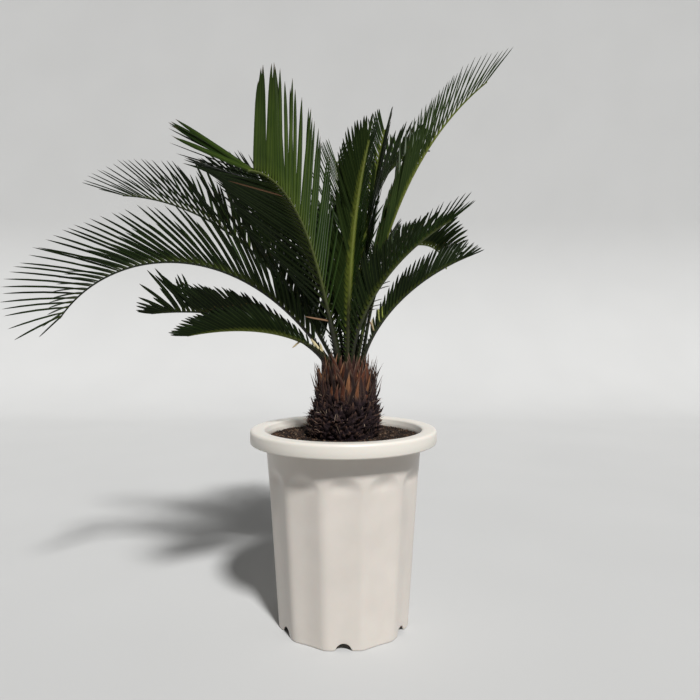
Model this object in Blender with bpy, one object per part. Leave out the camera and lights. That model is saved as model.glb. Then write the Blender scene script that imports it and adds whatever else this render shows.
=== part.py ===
"""Potted sago palm: a plastic pot, soil, the trunk, its collar of scale leaves and one solid for each frond.

Metres, +Z up. The origin is on the ground, on the pot's axis. The front faces -Y.
"""
import math
import random

import bmesh
import bpy
import numpy as np
from mathutils import Vector

# Clearance between two solids that touch
GAP = 0.0003

# Turn from one stub or scale to the next round the trunk
GOLDEN_ANGLE = math.radians(137.508)

# Pot: the rim's outer diameter is 280 mm
POT_HEIGHT = 0.294
RIM_RADIUS = 0.140
RIM_INNER_RADIUS = 0.118
RIM_BAND = 0.020
NECK_RADIUS = 0.1165
FOOT_RADIUS = 0.0990
WALL = 0.003
FACETS = 12
FACET_HALF_ANGLE = math.radians(13.0)
ARCH_SHOULDER = 0.226
ARCH_TOP = 0.245
FLOOR_STEP_RADIUS = 0.056
FLOOR_RISE = 0.008
NOTCHES = 6
NOTCH_RADIUS = 0.012
NOTCH_HEIGHT = 0.010
DRAIN_RADIUS = 0.005
DRAIN_RING_RADIUS = 0.076

# Soil
SOIL_TOP = 0.281
SOIL_UNEVENNESS = 0.002
HOLE_BOTTOM = 0.195

# Trunk: its lower part stands in the hole in the soil
TRUNK_TOP = 0.345
TRUNK_COLUMNS = 20
BURIED_FOOT_RADIUS = 0.030
BURIED_TOP_RADIUS = 0.050
BARREL_RADIUS = 0.0495
BARREL_SWELL = 0.004
BARREL_NARROWING = 0.0085
STUBS = 90
STUB_WIDTH = 0.0140
STUB_HEIGHT = 0.0110
STUB_LENGTH = 0.0090
STUB_DEPTH = 0.006

# Collar of scale leaves, with the sockets that hold the fronds
CROWN_CENTRE = 0.004
COLLAR_TOP = 0.386
COLLAR_RADIUS = 0.0375
SCALES = 42
SCALE_LENGTH = 0.026
SCALE_WIDTH = 0.0085
SCALE_THICKNESS = 0.0050
SCALE_DEPTH = 0.009
SCALE_CLEARANCE = 0.0085
SOCKET_DEPTH = 0.012
SOCKET_RISE = 0.008

# Fronds
PETIOLE_WIDTH = 0.0066
RIB_TIP_WIDTH = 0.0022
RIB_SHOULDER = 0.32
RIB_KEEL = 0.58
BARE_PETIOLE = 0.055
LEAFLET_WIDTH = 0.0078
LEAFLET_THICKNESS = 0.0010
LEAFLET_ROOT = 0.0055
LEAFLET_BEND = 0.45
LEAFLET_CURL = 0.80
LEAFLET_CLEARANCE = 0.0056
NEIGHBOUR_CLEARANCE = 0.0047
RIB_CLEARANCE = 0.0032
RIB_FREE_STRETCH = 0.014
LEAST_LEAFLET = 0.016

# Steepest vee, in degrees, of a leaflet that leaves the rib at the open angle or more, and what each degree less
# takes off it, so that no leaflet folds into the rib; and the least angle between leaflet and rib
STEEPEST_VEE = 56
OPEN_ANGLE = 50
VEE_LOSS = 0.25
LEAST_ANGLE = 24

# One line for each frond. Angles are in degrees and lengths in metres.
# azimuth 0 is +X and 90 is the back; rise is the slope at the crown and droop what it loses to the tip;
# power is 1 for an even arch and more for one that bends late; swing turns the frond sideways to its tip;
# roll turns its two ranks about the rib; leaflet is the longest leaflet and vee the slope of the two ranks.
# seat and seat_angle place its socket in the crown.
# The fronds that show most come first, and the others bend their leaflets round them.
FROND_FIELDS = ("azimuth", "rise", "droop", "power", "length", "swing", "roll", "leaflet", "vee", "seat",
                "seat_angle", "pairs")
FRONDS = {
    "frond_01": (181, 55, 112, 1.40, 0.495, 0, 0, 0.138, 43, 0.019, 185, 26),
    "frond_02": (163, 61, 56, 1.25, 0.495, 0, 0, 0.135, 46, 0.018, 145, 26),
    "frond_03": (-120, 68, 84, 3.00, 0.350, 0, -65, 0.170, 30, 0.018, -120, 23),
    "frond_04": (155, 77, 62, 1.60, 0.400, 0, 0, 0.120, 30, 0.007, 150, 18),
    "frond_05": (-62, 87, 26, 2.00, 0.330, 0, 0, 0.105, 40, 0.0062, -78, 18),
    "frond_06": (55, 81, 14, 1.50, 0.400, 0, 0, 0.100, 45, 0.013, 50, 18),
    "frond_07": (58, 82, 76, 3.20, 0.420, -42, 0, 0.100, 45, 0.020, 75, 16),
    "frond_08": (12, 79, 40, 1.70, 0.505, 0, 0, 0.120, 50, 0.015, 12, 24),
    "frond_09": (-35, 88, 64, 0.70, 0.272, 0, 0, 0.080, 45, 0.010, -28, 16),
    "frond_10": (20, 80, 172, 3.00, 0.300, 0, 0, 0.075, 45, 0.025, 25, 14),
    "frond_11": (-8, 78, 57, 0.70, 0.240, 0, 0, 0.066, 50, 0.023, -8, 14),
    "frond_12": (-155, 68, 80, 0.40, 0.230, 0, 0, 0.068, 45, 0.025, -155, 14),
    "frond_13": (174, 62, 68, 0.45, 0.302, 0, 0, 0.074, 50, 0.029, 170, 16),
    "frond_14": (78, 66, 75, 1.20, 0.420, 0, 0, 0.110, 45, 0.028, 60, 17),
    "frond_15": (102, 58, 85, 1.20, 0.440, 0, 0, 0.120, 45, 0.028, 95, 17),
    "frond_16": (118, 72, 90, 1.50, 0.410, 0, 0, 0.120, 45, 0.026, 122, 16),
    "frond_17": (97, 80, 25, 1.50, 0.370, 0, 0, 0.110, 45, 0.010, 90, 16),
}

# How the leaflets stand, for places from 0 at the petiole to 1 at the tip: the angle between leaflet and rib and
# the share of the longest leaflet. Where a frond's own plan differs, it also gives the vee, and its second row of
# plans is for its left rank. The third frond holds an upright fan to its right and ends in a tuft.
USUAL_PLAN = ((0.0, 52, 0.30), (0.29, 47, 1.0), (0.55, 43, 1.0), (0.80, 38, 0.76), (1.0, 26, 0.45))
OWN_PLANS = {
    "frond_01": (((0.0, 52, 43, 0.30), (0.29, 48, 43, 0.95), (0.60, 46, 42, 0.90), (0.85, 54, 38, 0.85),
                  (1.0, 40, 32, 0.52)),),
    "frond_02": (((0.0, 52, 46, 0.30), (0.29, 48, 46, 0.95), (0.60, 44, 46, 0.88), (0.80, 38, 44, 0.80),
                  (1.0, 20, 36, 0.58)),),
    "frond_03": (((0.0, 30, 40, 0.30), (0.29, 30, 45, 0.85), (0.82, 34, 45, 0.72), (0.90, 36, 90, 0.74),
                  (1.0, 40, 120, 0.60)),
                 ((0.0, 34, 30, 0.30), (0.29, 46, 30, 0.95), (0.51, 52, 30, 1.0), (0.77, 66, 28, 0.92),
                  (0.94, 80, 14, 0.68), (0.972, 88, 10, 0.54), (0.973, 40, 60, 0.62), (1.0, 28, 64, 0.60))),
    "frond_05": (((0.0, 34, 40, 0.30), (0.29, 30, 40, 1.0), (0.80, 26, 40, 0.75), (1.0, 12, 30, 0.40)),),
    "frond_08": (((0.0, 36, 50, 0.30), (0.29, 32, 50, 1.0), (0.80, 26, 50, 0.75), (1.0, 14, 40, 0.60)),),
    "frond_09": (((0.0, 48, 45, 0.30), (0.29, 45, 45, 0.95), (0.50, 42, 45, 0.66), (0.75, 40, 45, 0.60),
                  (1.0, 24, 40, 0.70)),
                 ((0.0, 48, 45, 0.30), (0.29, 45, 45, 1.0), (0.50, 42, 45, 0.90), (0.75, 40, 45, 0.80),
                  (1.0, 24, 40, 0.60))),
    "frond_10": (((0.0, 52, 45, 0.30), (0.29, 50, 45, 1.0), (0.70, 60, 45, 0.90), (0.90, 78, 45, 0.80),
                  (1.0, 84, 45, 0.62)),),
    "frond_11": (((0.0, 48, 50, 0.30), (0.29, 45, 50, 0.80), (0.70, 45, 50, 0.85), (0.85, 38, 50, 0.72),
                  (1.0, 8, 30, 0.42)),),
    "frond_13": (((0.0, 45, 50, 0.30), (0.29, 45, 50, 1.0), (0.60, 50, 50, 1.0), (0.70, 56, 50, 1.0),
                  (0.76, 76, 50, 1.15), (0.83, 74, 50, 1.15), (0.86, 46, 50, 0.8), (1.0, 18, 40, 0.36)),),
}

# Shares of the bend, and crowding of the leaflets towards the tip, where they differ from the usual
LEAFLET_CURLS = {"frond_03": 0.97}
TIP_CROWDING = 0.92
OWN_CROWDING = {"frond_03": 0.85}


def material(name, colour, roughness, metallic=0.0):
    made = bpy.data.materials.new(name)
    made.use_nodes = True
    shader = made.node_tree.nodes["Principled BSDF"]
    shader.inputs["Base Color"].default_value = (*colour, 1.0)
    shader.inputs["Roughness"].default_value = roughness
    shader.inputs["Metallic"].default_value = metallic
    return made


def add_object(name, vertices, faces, finish=None):
    mesh = bpy.data.meshes.new(name)
    mesh.from_pydata([tuple(map(float, v)) for v in vertices], [], faces)
    mesh.update()
    if finish:
        mesh.materials.append(finish)
    made = bpy.data.objects.new(name, mesh)
    bpy.context.scene.collection.objects.link(made)
    return made


def shade_round(target, sharp_angle):
    """Smooth shading, with sharp edges where faces meet at more than the angle in degrees."""
    target.data.shade_smooth()
    target.data.set_sharp_from_angle(angle=math.radians(sharp_angle))


def ring_solid(rings, start_pole, end_pole):
    """Vertices and faces of a closed turned solid: rings of equal size between two poles.

    The rings run from the outside's foot, over the top, to the inside, so that faces point outward.
    """
    count = len(rings[0])
    vertices = [start_pole]
    for ring in rings:
        vertices.extend(ring)
    vertices.append(end_pole)
    faces = [(0, 1 + (k + 1) % count, 1 + k) for k in range(count)]
    for level in range(len(rings) - 1):
        low = 1 + level * count
        high = low + count
        for k in range(count):
            after = (k + 1) % count
            faces.append((low + k, low + after, high + after, high + k))
    last = 1 + (len(rings) - 1) * count
    end = len(vertices) - 1
    faces += [(last + k, last + (k + 1) % count, end) for k in range(count)]
    return vertices, faces


def apply_boolean(target, operand, operation, solver="EXACT"):
    """Boolean of target with an object or a collection, applied to the target's mesh."""
    modifier = target.modifiers.new("boolean", "BOOLEAN")
    modifier.operation = operation
    modifier.solver = solver
    if isinstance(operand, bpy.types.Collection):
        modifier.operand_type = "COLLECTION"
        modifier.collection = operand
    else:
        modifier.object = operand
    depsgraph = bpy.context.evaluated_depsgraph_get()
    made = bpy.data.meshes.new_from_object(target.evaluated_get(depsgraph))
    target.modifiers.remove(modifier)
    target.data = made
    made.name = target.name


def clean_mesh(target):
    """Welds points closer than a hundredth of a millimetre and drops faces with no area."""
    work = bmesh.new()
    work.from_mesh(target.data)
    bmesh.ops.remove_doubles(work, verts=work.verts, dist=0.00001)
    bmesh.ops.dissolve_degenerate(work, edges=work.edges, dist=0.00001)
    bmesh.ops.triangulate(work, faces=[f for f in work.faces if len(f.verts) > 4])
    work.to_mesh(target.data)
    work.free()


def cone_radius(z):
    return FOOT_RADIUS + (NECK_RADIUS - FOOT_RADIUS) * z / (POT_HEIGHT - RIM_BAND)


def wall_radius(angle, z):
    """Outer face of the pot's wall: a cone, cut flat on 12 faces whose tops run out in arches."""
    pitch = 2 * math.pi / FACETS
    off_centre = (angle + math.pi / 2 + pitch / 2) % pitch - pitch / 2
    climb = min(max((z - ARCH_SHOULDER) / (ARCH_TOP - ARCH_SHOULDER), 0.0), 1.0)
    flat = math.cos(FACET_HALF_ANGLE)
    distance = flat + (1.0 - flat) * climb
    return cone_radius(z) * min(1.0, distance / math.cos(off_centre))


def circle(radius, z, angles):
    return [(radius * math.cos(a), radius * math.sin(a), z) for a in angles]


def wall_ring(inset, z, angles):
    return [((wall_radius(a, z) - inset) * math.cos(a), (wall_radius(a, z) - inset) * math.sin(a), z)
            for a in angles]


def make_pot(finish):
    pitch = 2 * math.pi / FACETS
    places = (-FACET_HALF_ANGLE, -math.radians(5), math.radians(5), FACET_HALF_ANGLE)
    angles = [-math.pi / 2 + k * pitch + place for k in range(FACETS) for place in places]
    arch = [ARCH_SHOULDER + (ARCH_TOP - ARCH_SHOULDER) * share for share in (0.0, 0.45, 0.85, 1.0)]
    floor_top = FLOOR_RISE + WALL
    band_foot = POT_HEIGHT - RIM_BAND
    rings = [circle(FLOOR_STEP_RADIUS, 0.0, angles),
             circle(FLOOR_STEP_RADIUS + 0.002, FLOOR_RISE, angles),
             wall_ring(WALL + 0.001, FLOOR_RISE, angles),
             wall_ring(WALL, 0.0, angles),
             wall_ring(0.001, 0.0, angles),
             wall_ring(0.0, 0.001, angles)]
    rings += [wall_ring(0.0, z, angles) for z in arch]
    rings += [circle(NECK_RADIUS, band_foot, angles),
              circle(NECK_RADIUS + 0.001, POT_HEIGHT - 0.0045, angles),
              circle(NECK_RADIUS + 0.003, POT_HEIGHT - WALL, angles),
              circle(RIM_RADIUS - WALL - 0.001, POT_HEIGHT - WALL, angles),
              circle(RIM_RADIUS - WALL, band_foot, angles),
              circle(RIM_RADIUS - 0.0005, band_foot - 0.0003, angles),
              circle(RIM_RADIUS, band_foot + 0.002, angles),
              circle(RIM_RADIUS, POT_HEIGHT - 0.003, angles),
              circle(RIM_RADIUS - 0.003, POT_HEIGHT, angles),
              circle(RIM_INNER_RADIUS + 0.002, POT_HEIGHT, angles),
              circle(RIM_INNER_RADIUS - 0.002, POT_HEIGHT - 0.0025, angles),
              wall_ring(WALL, POT_HEIGHT - 0.010, angles),
              wall_ring(WALL, ARCH_TOP, angles),
              wall_ring(WALL, ARCH_SHOULDER, angles),
              wall_ring(WALL, floor_top, angles),
              circle(FLOOR_STEP_RADIUS, floor_top, angles),
              circle(FLOOR_STEP_RADIUS - 0.002, WALL, angles)]
    vertices, faces = ring_solid(rings, (0.0, 0.0, 0.0), (0.0, 0.0, WALL))
    pot = add_object("pot", vertices, faces, finish)

    cutters = bmesh.new()
    for k in range(NOTCHES):
        angle = -math.pi / 2 + k * 2 * math.pi / NOTCHES
        outward = Vector((math.cos(angle), math.sin(angle), 0.0))
        cylinder = bmesh.ops.create_cone(cutters, cap_ends=True, segments=16, radius1=NOTCH_RADIUS,
                                         radius2=NOTCH_RADIUS, depth=0.030)
        turn = outward.to_track_quat("Z", "Y").to_matrix()
        bmesh.ops.rotate(cutters, verts=cylinder["verts"], matrix=turn)
        low = outward * FOOT_RADIUS + Vector((0.0, 0.0, NOTCH_HEIGHT - NOTCH_RADIUS))
        bmesh.ops.translate(cutters, verts=cylinder["verts"], vec=low)
        drain = bmesh.ops.create_cone(cutters, cap_ends=True, segments=12, radius1=DRAIN_RADIUS,
                                      radius2=DRAIN_RADIUS, depth=0.010)
        bmesh.ops.translate(cutters, verts=drain["verts"],
                            vec=outward * DRAIN_RING_RADIUS + Vector((0.0, 0.0, FLOOR_RISE + WALL / 2)))
    mesh = bpy.data.meshes.new("pot_cutter")
    cutters.to_mesh(mesh)
    cutters.free()
    cutter = bpy.data.objects.new("pot_cutter", mesh)
    bpy.context.scene.collection.objects.link(cutter)
    apply_boolean(pot, cutter, "DIFFERENCE")
    bpy.data.objects.remove(cutter)
    clean_mesh(pot)
    shade_round(pot, 25)
    return pot


def buried_radius(z):
    """Trunk below the soil: a blunt cone that narrows to its foot."""
    climb = (z - HOLE_BOTTOM) / (SOIL_TOP - HOLE_BOTTOM)
    widening = BURIED_TOP_RADIUS - BURIED_FOOT_RADIUS
    return BURIED_FOOT_RADIUS + widening * min(max(climb, 0.0), 1.0) ** 0.6


def make_soil(finish):
    pitch = 2 * math.pi / FACETS
    angles = [-math.pi / 2 + k * pitch + place for k in range(FACETS)
              for place in (-FACET_HALF_ANGLE, FACET_HALF_ANGLE)]
    draw = random.Random(11)
    floor_top = FLOOR_RISE + WALL + GAP
    inset = WALL + GAP
    edge = SOIL_TOP - 0.003
    rings = [circle(FLOOR_STEP_RADIUS - 0.0025, WALL + GAP, angles),
             circle(FLOOR_STEP_RADIUS - 0.0005, floor_top, angles),
             wall_ring(inset, floor_top, angles),
             wall_ring(inset, ARCH_SHOULDER, angles),
             wall_ring(inset, edge, angles)]
    for radius in (0.100, 0.083, 0.067):
        heights = [SOIL_TOP + draw.uniform(-SOIL_UNEVENNESS, SOIL_UNEVENNESS) for _ in angles]
        rings.append([(radius * math.cos(a), radius * math.sin(a), z) for a, z in zip(angles, heights)])
    for z in (SOIL_TOP, SOIL_TOP - 0.012, SOIL_TOP - 0.045, HOLE_BOTTOM):
        rings.append(circle((buried_radius(z) + 3 * GAP) / math.cos(FACET_HALF_ANGLE), z, angles))
    vertices, faces = ring_solid(rings, (0.0, 0.0, WALL + GAP), (0.0, 0.0, HOLE_BOTTOM))
    return add_object("soil", vertices, faces, finish)


def spike(base, outward, upward, width, height, length, tip_lift, depth):
    """Four-sided pointed stub whose root is sunk into what carries it. Returns vertices and faces."""
    side = outward.cross(upward).normalized()
    inner = base - outward * depth
    middle = base + outward * length * 0.45
    tip = base + outward * length + upward * tip_lift
    corners = (side * width, upward * height, -side * width, -upward * height)
    root = [inner + corner * 0.5 for corner in corners]
    shoulder = [middle + upward * tip_lift * 0.3 + corner * 0.4 for corner in corners]
    vertices = root + shoulder + [tip]
    faces = [(3, 2, 1, 0)]
    for k in range(4):
        after = (k + 1) % 4
        faces.append((k, after, 4 + after, 4 + k))
        faces.append((4 + k, 4 + after, 8))
    return vertices, faces


def leaning_axes(angle, lean):
    """Outward direction at an angle round the trunk, tilted up by lean, and the direction square to it."""
    level = Vector((math.cos(angle), math.sin(angle), 0.0))
    above = Vector((0.0, 0.0, 1.0))
    outward = level * math.cos(lean) + above * math.sin(lean)
    upward = above * math.cos(lean) - level * math.sin(lean)
    return outward, upward


def around(angle, radius, centre, z):
    return Vector((centre + radius * math.cos(angle), radius * math.sin(angle), z))


def outward_faces(target):
    work = bmesh.new()
    work.from_mesh(target.data)
    bmesh.ops.recalc_face_normals(work, faces=work.faces)
    work.to_mesh(target.data)
    work.free()


def fuse(body, spikes):
    """Joins the spikes to the body in one closed solid."""
    group = bpy.data.collections.new("repeats")
    for number, (vertices, faces) in enumerate(spikes):
        one = add_object(f"repeat_{number}", vertices, faces)
        outward_faces(one)
        bpy.context.scene.collection.objects.unlink(one)
        group.objects.link(one)
    bpy.context.scene.collection.children.link(group)
    apply_boolean(body, group, "UNION", "MANIFOLD")
    for one in list(group.objects):
        bpy.data.objects.remove(one)
    bpy.data.collections.remove(group)
    clean_mesh(body)


def trunk_radius(z):
    """Trunk above the soil, between its stubs: a low barrel that narrows towards the collar."""
    climb = (z - SOIL_TOP) / (TRUNK_TOP - SOIL_TOP)
    swell = BARREL_SWELL * math.sin(math.pi * min(climb * 1.5, 1.0))
    return BARREL_RADIUS + swell - BARREL_NARROWING * max(climb, 0.0) ** 1.6


def trunk_centre(z):
    """The trunk leans a little to +X as it rises."""
    climb = min(max((z - SOIL_TOP) / (TRUNK_TOP - SOIL_TOP), 0.0), 1.0)
    return CROWN_CENTRE * climb


def make_trunk(finish):
    angles = [2 * math.pi * k / TRUNK_COLUMNS for k in range(TRUNK_COLUMNS)]
    foot = HOLE_BOTTOM + GAP
    rings = []
    for z in (foot, 0.236, SOIL_TOP - 0.012):
        rings.append(circle(buried_radius(z), z, angles))
    for z in (SOIL_TOP + 0.001, 0.291, 0.302, 0.316, 0.331, TRUNK_TOP - 0.003):
        radius = trunk_radius(z)
        centre = trunk_centre(z)
        rings.append([(centre + radius * math.cos(a), radius * math.sin(a), z) for a in angles])
    rings.append([(CROWN_CENTRE + 0.036 * math.cos(a), 0.036 * math.sin(a), TRUNK_TOP) for a in angles])
    vertices, faces = ring_solid(rings, (0.0, 0.0, foot), (CROWN_CENTRE, 0.0, TRUNK_TOP))
    trunk = add_object("trunk", vertices, faces, finish)

    draw = random.Random(3)
    stubs = []
    for k in range(STUBS):
        share = (k + 0.5) / STUBS
        z = SOIL_TOP + 0.0075 + share * (TRUNK_TOP - SOIL_TOP - 0.016)
        outward, upward = leaning_axes(k * GOLDEN_ANGLE, math.radians(draw.uniform(2, 30)))
        base = around(k * GOLDEN_ANGLE, trunk_radius(z), trunk_centre(z), z)
        length = STUB_LENGTH * draw.uniform(0.6, 1.15)
        width = STUB_WIDTH * draw.uniform(0.85, 1.1)
        tip_lift = draw.uniform(0.0, 0.004)
        stubs.append(spike(base, outward, upward, width, STUB_HEIGHT, length, tip_lift, STUB_DEPTH))
    fuse(trunk, stubs)
    shade_round(trunk, 35)
    return trunk


def frond_values(name):
    return dict(zip(FROND_FIELDS, FRONDS[name]))


def frond_path(values, stations):
    """Points, directions, right sides and up sides of a frond's rib at the given distances along it."""
    steps = 240
    length = values["length"]
    azimuth = math.radians(values["azimuth"])
    at = np.linspace(-SOCKET_DEPTH, length, steps)
    share = np.clip((at - SOCKET_RISE) / (length - SOCKET_RISE), 0.0, 1.0)
    slope = np.radians(values["rise"] - values["droop"] * share ** values["power"])
    heading = azimuth + math.radians(values["swing"]) * share ** 1.5
    level = np.cos(slope)
    direction = np.stack([level * np.cos(heading), level * np.sin(heading), np.sin(slope)], axis=1)
    root = np.array(around(math.radians(values["seat_angle"]), values["seat"], CROWN_CENTRE, COLLAR_TOP))
    strides = direction[:-1] * np.diff(at)[:, None]
    points = root - direction[0] * SOCKET_DEPTH + np.vstack([np.zeros(3), np.cumsum(strides, axis=0)])
    right = np.stack([np.sin(heading), -np.cos(heading), np.zeros(steps)], axis=1)
    up = np.cross(right, direction)
    roll = np.radians(values["roll"]) * np.clip(share * 3.0, 0.0, 1.0)[:, None]
    rolled_right = right * np.cos(roll) + up * np.sin(roll)
    rolled_up = up * np.cos(roll) - right * np.sin(roll)
    found = []
    for table in (points, direction, rolled_right, rolled_up):
        found.append(np.stack([np.interp(stations, at, table[:, axis]) for axis in range(3)], axis=1))
    return found


def leaflet_plan(name, hand, place):
    """Angle to the rib, vee and share of the longest leaflet for a place on the right, 1, or left rank, -1."""
    if name in OWN_PLANS:
        plans = OWN_PLANS[name]
        at, angles, vees, shares = zip(*(plans[0] if hand == 1 else plans[-1]))
        return np.interp(place, at, angles), np.interp(place, at, vees), np.interp(place, at, shares)
    at, angles, shares = zip(*USUAL_PLAN)
    return np.interp(place, at, angles), frond_values(name)["vee"], np.interp(place, at, shares)


def leaflet_line(root, along, side, up, length, forward, vee, curl):
    """Root, bend and tip of a leaflet that leaves the rib at the angles forward and vee, in radians."""
    spread = side * math.cos(vee) + up * math.sin(vee)
    first = along * math.cos(forward) + spread * math.sin(forward)
    later = along * math.cos(forward * curl) + spread * math.sin(forward * curl)
    bend = root + first * length * LEAFLET_BEND
    return np.array([root, bend, bend + later * length * (1.0 - LEAFLET_BEND)])


def clear_of(line, placed, first_share, clearance):
    """True if a leaflet, from a share of its length outward, keeps clear of every placed stretch."""
    if not placed:
        return True
    reach = np.interp(np.linspace(first_share, 1.0, 24), [0.0, LEAFLET_BEND, 1.0], [0, 1, 2])
    points = np.stack([np.interp(reach, [0, 1, 2], line[:, axis]) for axis in range(3)], axis=1)
    stretches = np.array(placed)
    starts = stretches[:, 0]
    span = stretches[:, 1] - starts
    offset = points[:, None, :] - starts[None, :, :]
    along = np.clip((offset * span).sum(axis=2) / (span * span).sum(axis=1), 0.0, 1.0)
    nearest = offset - along[..., None] * span
    return (nearest * nearest).sum(axis=2).min() > clearance ** 2


# Trials for a leaflet that would touch another: turns about the rib and towards its tip, in degrees, and a
# share of its length
TRIALS = [(0, 0, 1.0), (8, 0, 1.0), (-8, 0, 1.0), (0, -8, 1.0), (16, 0, 1.0), (-16, 0, 1.0), (8, -10, 1.0),
          (-8, -10, 1.0), (24, 0, 1.0), (-24, 0, 1.0), (16, -14, 1.0), (-16, -14, 1.0), (0, 8, 0.85),
          (0, 0, 0.75), (12, 0, 0.75), (-12, 0, 0.75), (20, -10, 0.75), (-20, -10, 0.75), (0, 0, 0.55),
          (15, 0, 0.55), (-15, 0, 0.55), (0, 0, 0.38), (18, 0, 0.38), (-18, 0, 0.38), (0, 0, 0.24)]


def lay_fronds():
    """Stations and centre lines of every frond's leaflets, bent clear of each other."""
    layout = {}
    ribs = {}
    for name in FRONDS:
        values = frond_values(name)
        line = frond_path(values, np.linspace(0.0, values["length"], 24))[0]
        ribs[name] = list(zip(line[:-1], line[1:]))
    laid = []
    for name in FRONDS:
        values = frond_values(name)
        others = laid + [stretch for other, rib in ribs.items() if other != name for stretch in rib]
        pairs = values["pairs"]
        last = values["length"] - LEAFLET_ROOT - 0.004
        # Leaflets stand closer together towards the tip
        places = np.linspace(0.0, 1.0, pairs) ** OWN_CROWDING.get(name, TIP_CROWDING)
        stations = BARE_PETIOLE + (last - BARE_PETIOLE) * places
        points, along, right, up = frond_path(values, stations + LEAFLET_ROOT / 2)
        curl = LEAFLET_CURLS.get(name, LEAFLET_CURL)
        own = {1: [], -1: []}
        leaflets = []
        for k in range(pairs):
            for hand in (1, -1):
                forward, slope, share = leaflet_plan(name, hand, places[k])
                width = rib_width(stations[k] / values["length"])
                root = points[k] + hand * right[k] * width * 0.30 - up[k] * width * 0.13
                chosen = None
                for turn, fold, shrink in TRIALS:
                    length = values["leaflet"] * share * shrink
                    angle = max(forward + fold, LEAST_ANGLE)
                    vee = min(slope + turn, STEEPEST_VEE - VEE_LOSS * max(0.0, OPEN_ANGLE - angle))
                    line = leaflet_line(root, along[k], hand * right[k], up[k], length,
                                        math.radians(angle), math.radians(vee), curl)
                    if length < LEAST_LEAFLET:
                        continue
                    if (clear_of(line, own[hand], 0.05, NEIGHBOUR_CLEARANCE)
                            and clear_of(line, ribs[name], RIB_FREE_STRETCH / length, RIB_CLEARANCE)
                            and clear_of(line, own[-hand], 0.35, NEIGHBOUR_CLEARANCE)
                            and clear_of(line, others, 0.04, LEAFLET_CLEARANCE)):
                        chosen = line
                        break
                leaflets.append(chosen)
                if chosen is not None:
                    own[hand] += [(chosen[0], chosen[1]), (chosen[1], chosen[2])]
        laid += own[1] + own[-1]
        layout[name] = (stations, leaflets)
    return layout


def rib_section(point, right, up, width):
    """Three corners of the rib's section: two shoulders and the keel below."""
    ridge = point + up * width * RIB_SHOULDER
    return [ridge - right * width / 2, ridge + right * width / 2, point - up * width * RIB_KEEL]


def rib_width(share):
    return PETIOLE_WIDTH + (RIB_TIP_WIDTH - PETIOLE_WIDTH) * max(0.0, share) ** 0.8


def make_frond(name, stations, leaflets, finish):
    values = frond_values(name)
    length = values["length"]
    marks = [-SOCKET_DEPTH, SOCKET_RISE * 0.6, BARE_PETIOLE * 0.5]
    leafy = []
    for station in stations:
        leafy.append(len(marks))
        marks += [station, station + LEAFLET_ROOT]
    marks.append(length)
    points, along, right, up = frond_path(values, np.array(marks))
    vertices = []
    for k, mark in enumerate(marks):
        vertices.extend(rib_section(points[k], right[k], up[k], rib_width(mark / length)))
    faces = [(2, 1, 0)]
    carried = {start: pair for pair, start in enumerate(leafy)}
    pitch = np.gradient(stations)
    for k in range(len(marks) - 1):
        left, other, keel = 3 * k, 3 * k + 1, 3 * k + 2
        faces.append((left, other, other + 3, left + 3))
        sides = {1: (keel, keel + 3, other + 3, other), -1: (keel + 3, keel, left, left + 3)}
        for slot, hand in enumerate((1, -1)):
            face = sides[hand]
            line = leaflets[2 * carried[k] + slot] if k in carried else None
            if line is None:
                faces.append(face)
                continue
            blade = line[2] - line[0]
            blade /= np.linalg.norm(blade)
            middle = 0.5 * (along[k] + along[k + 1])
            edge = middle - blade * middle.dot(blade)
            edge /= np.linalg.norm(edge)
            normal = np.cross(blade, edge)
            if normal.dot(up[k]) < 0:
                normal = -normal
            reach = np.linalg.norm(line[2] - line[0])
            room = 0.7 * pitch[carried[k]] * math.sqrt(1.0 - blade.dot(middle) ** 2)
            half = 0.5 * min(LEAFLET_WIDTH, room, 0.13 * reach)
            thick = 0.5 * LEAFLET_THICKNESS
            ahead = 1 if hand == 1 else -1
            first = len(vertices)
            for step, lift in ((-ahead, -1), (ahead, -1), (ahead, 1), (-ahead, 1)):
                vertices.append(line[1] + edge * half * step + normal * thick * lift)
            vertices.append(line[2])
            for corner in range(4):
                after = (corner + 1) % 4
                faces.append((face[corner], face[after], first + after, first + corner))
                faces.append((first + corner, first + after, first + 4))
    end = 3 * (len(marks) - 1)
    faces.append((end, end + 1, end + 2))
    return add_object(name, vertices, faces, finish)


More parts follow.
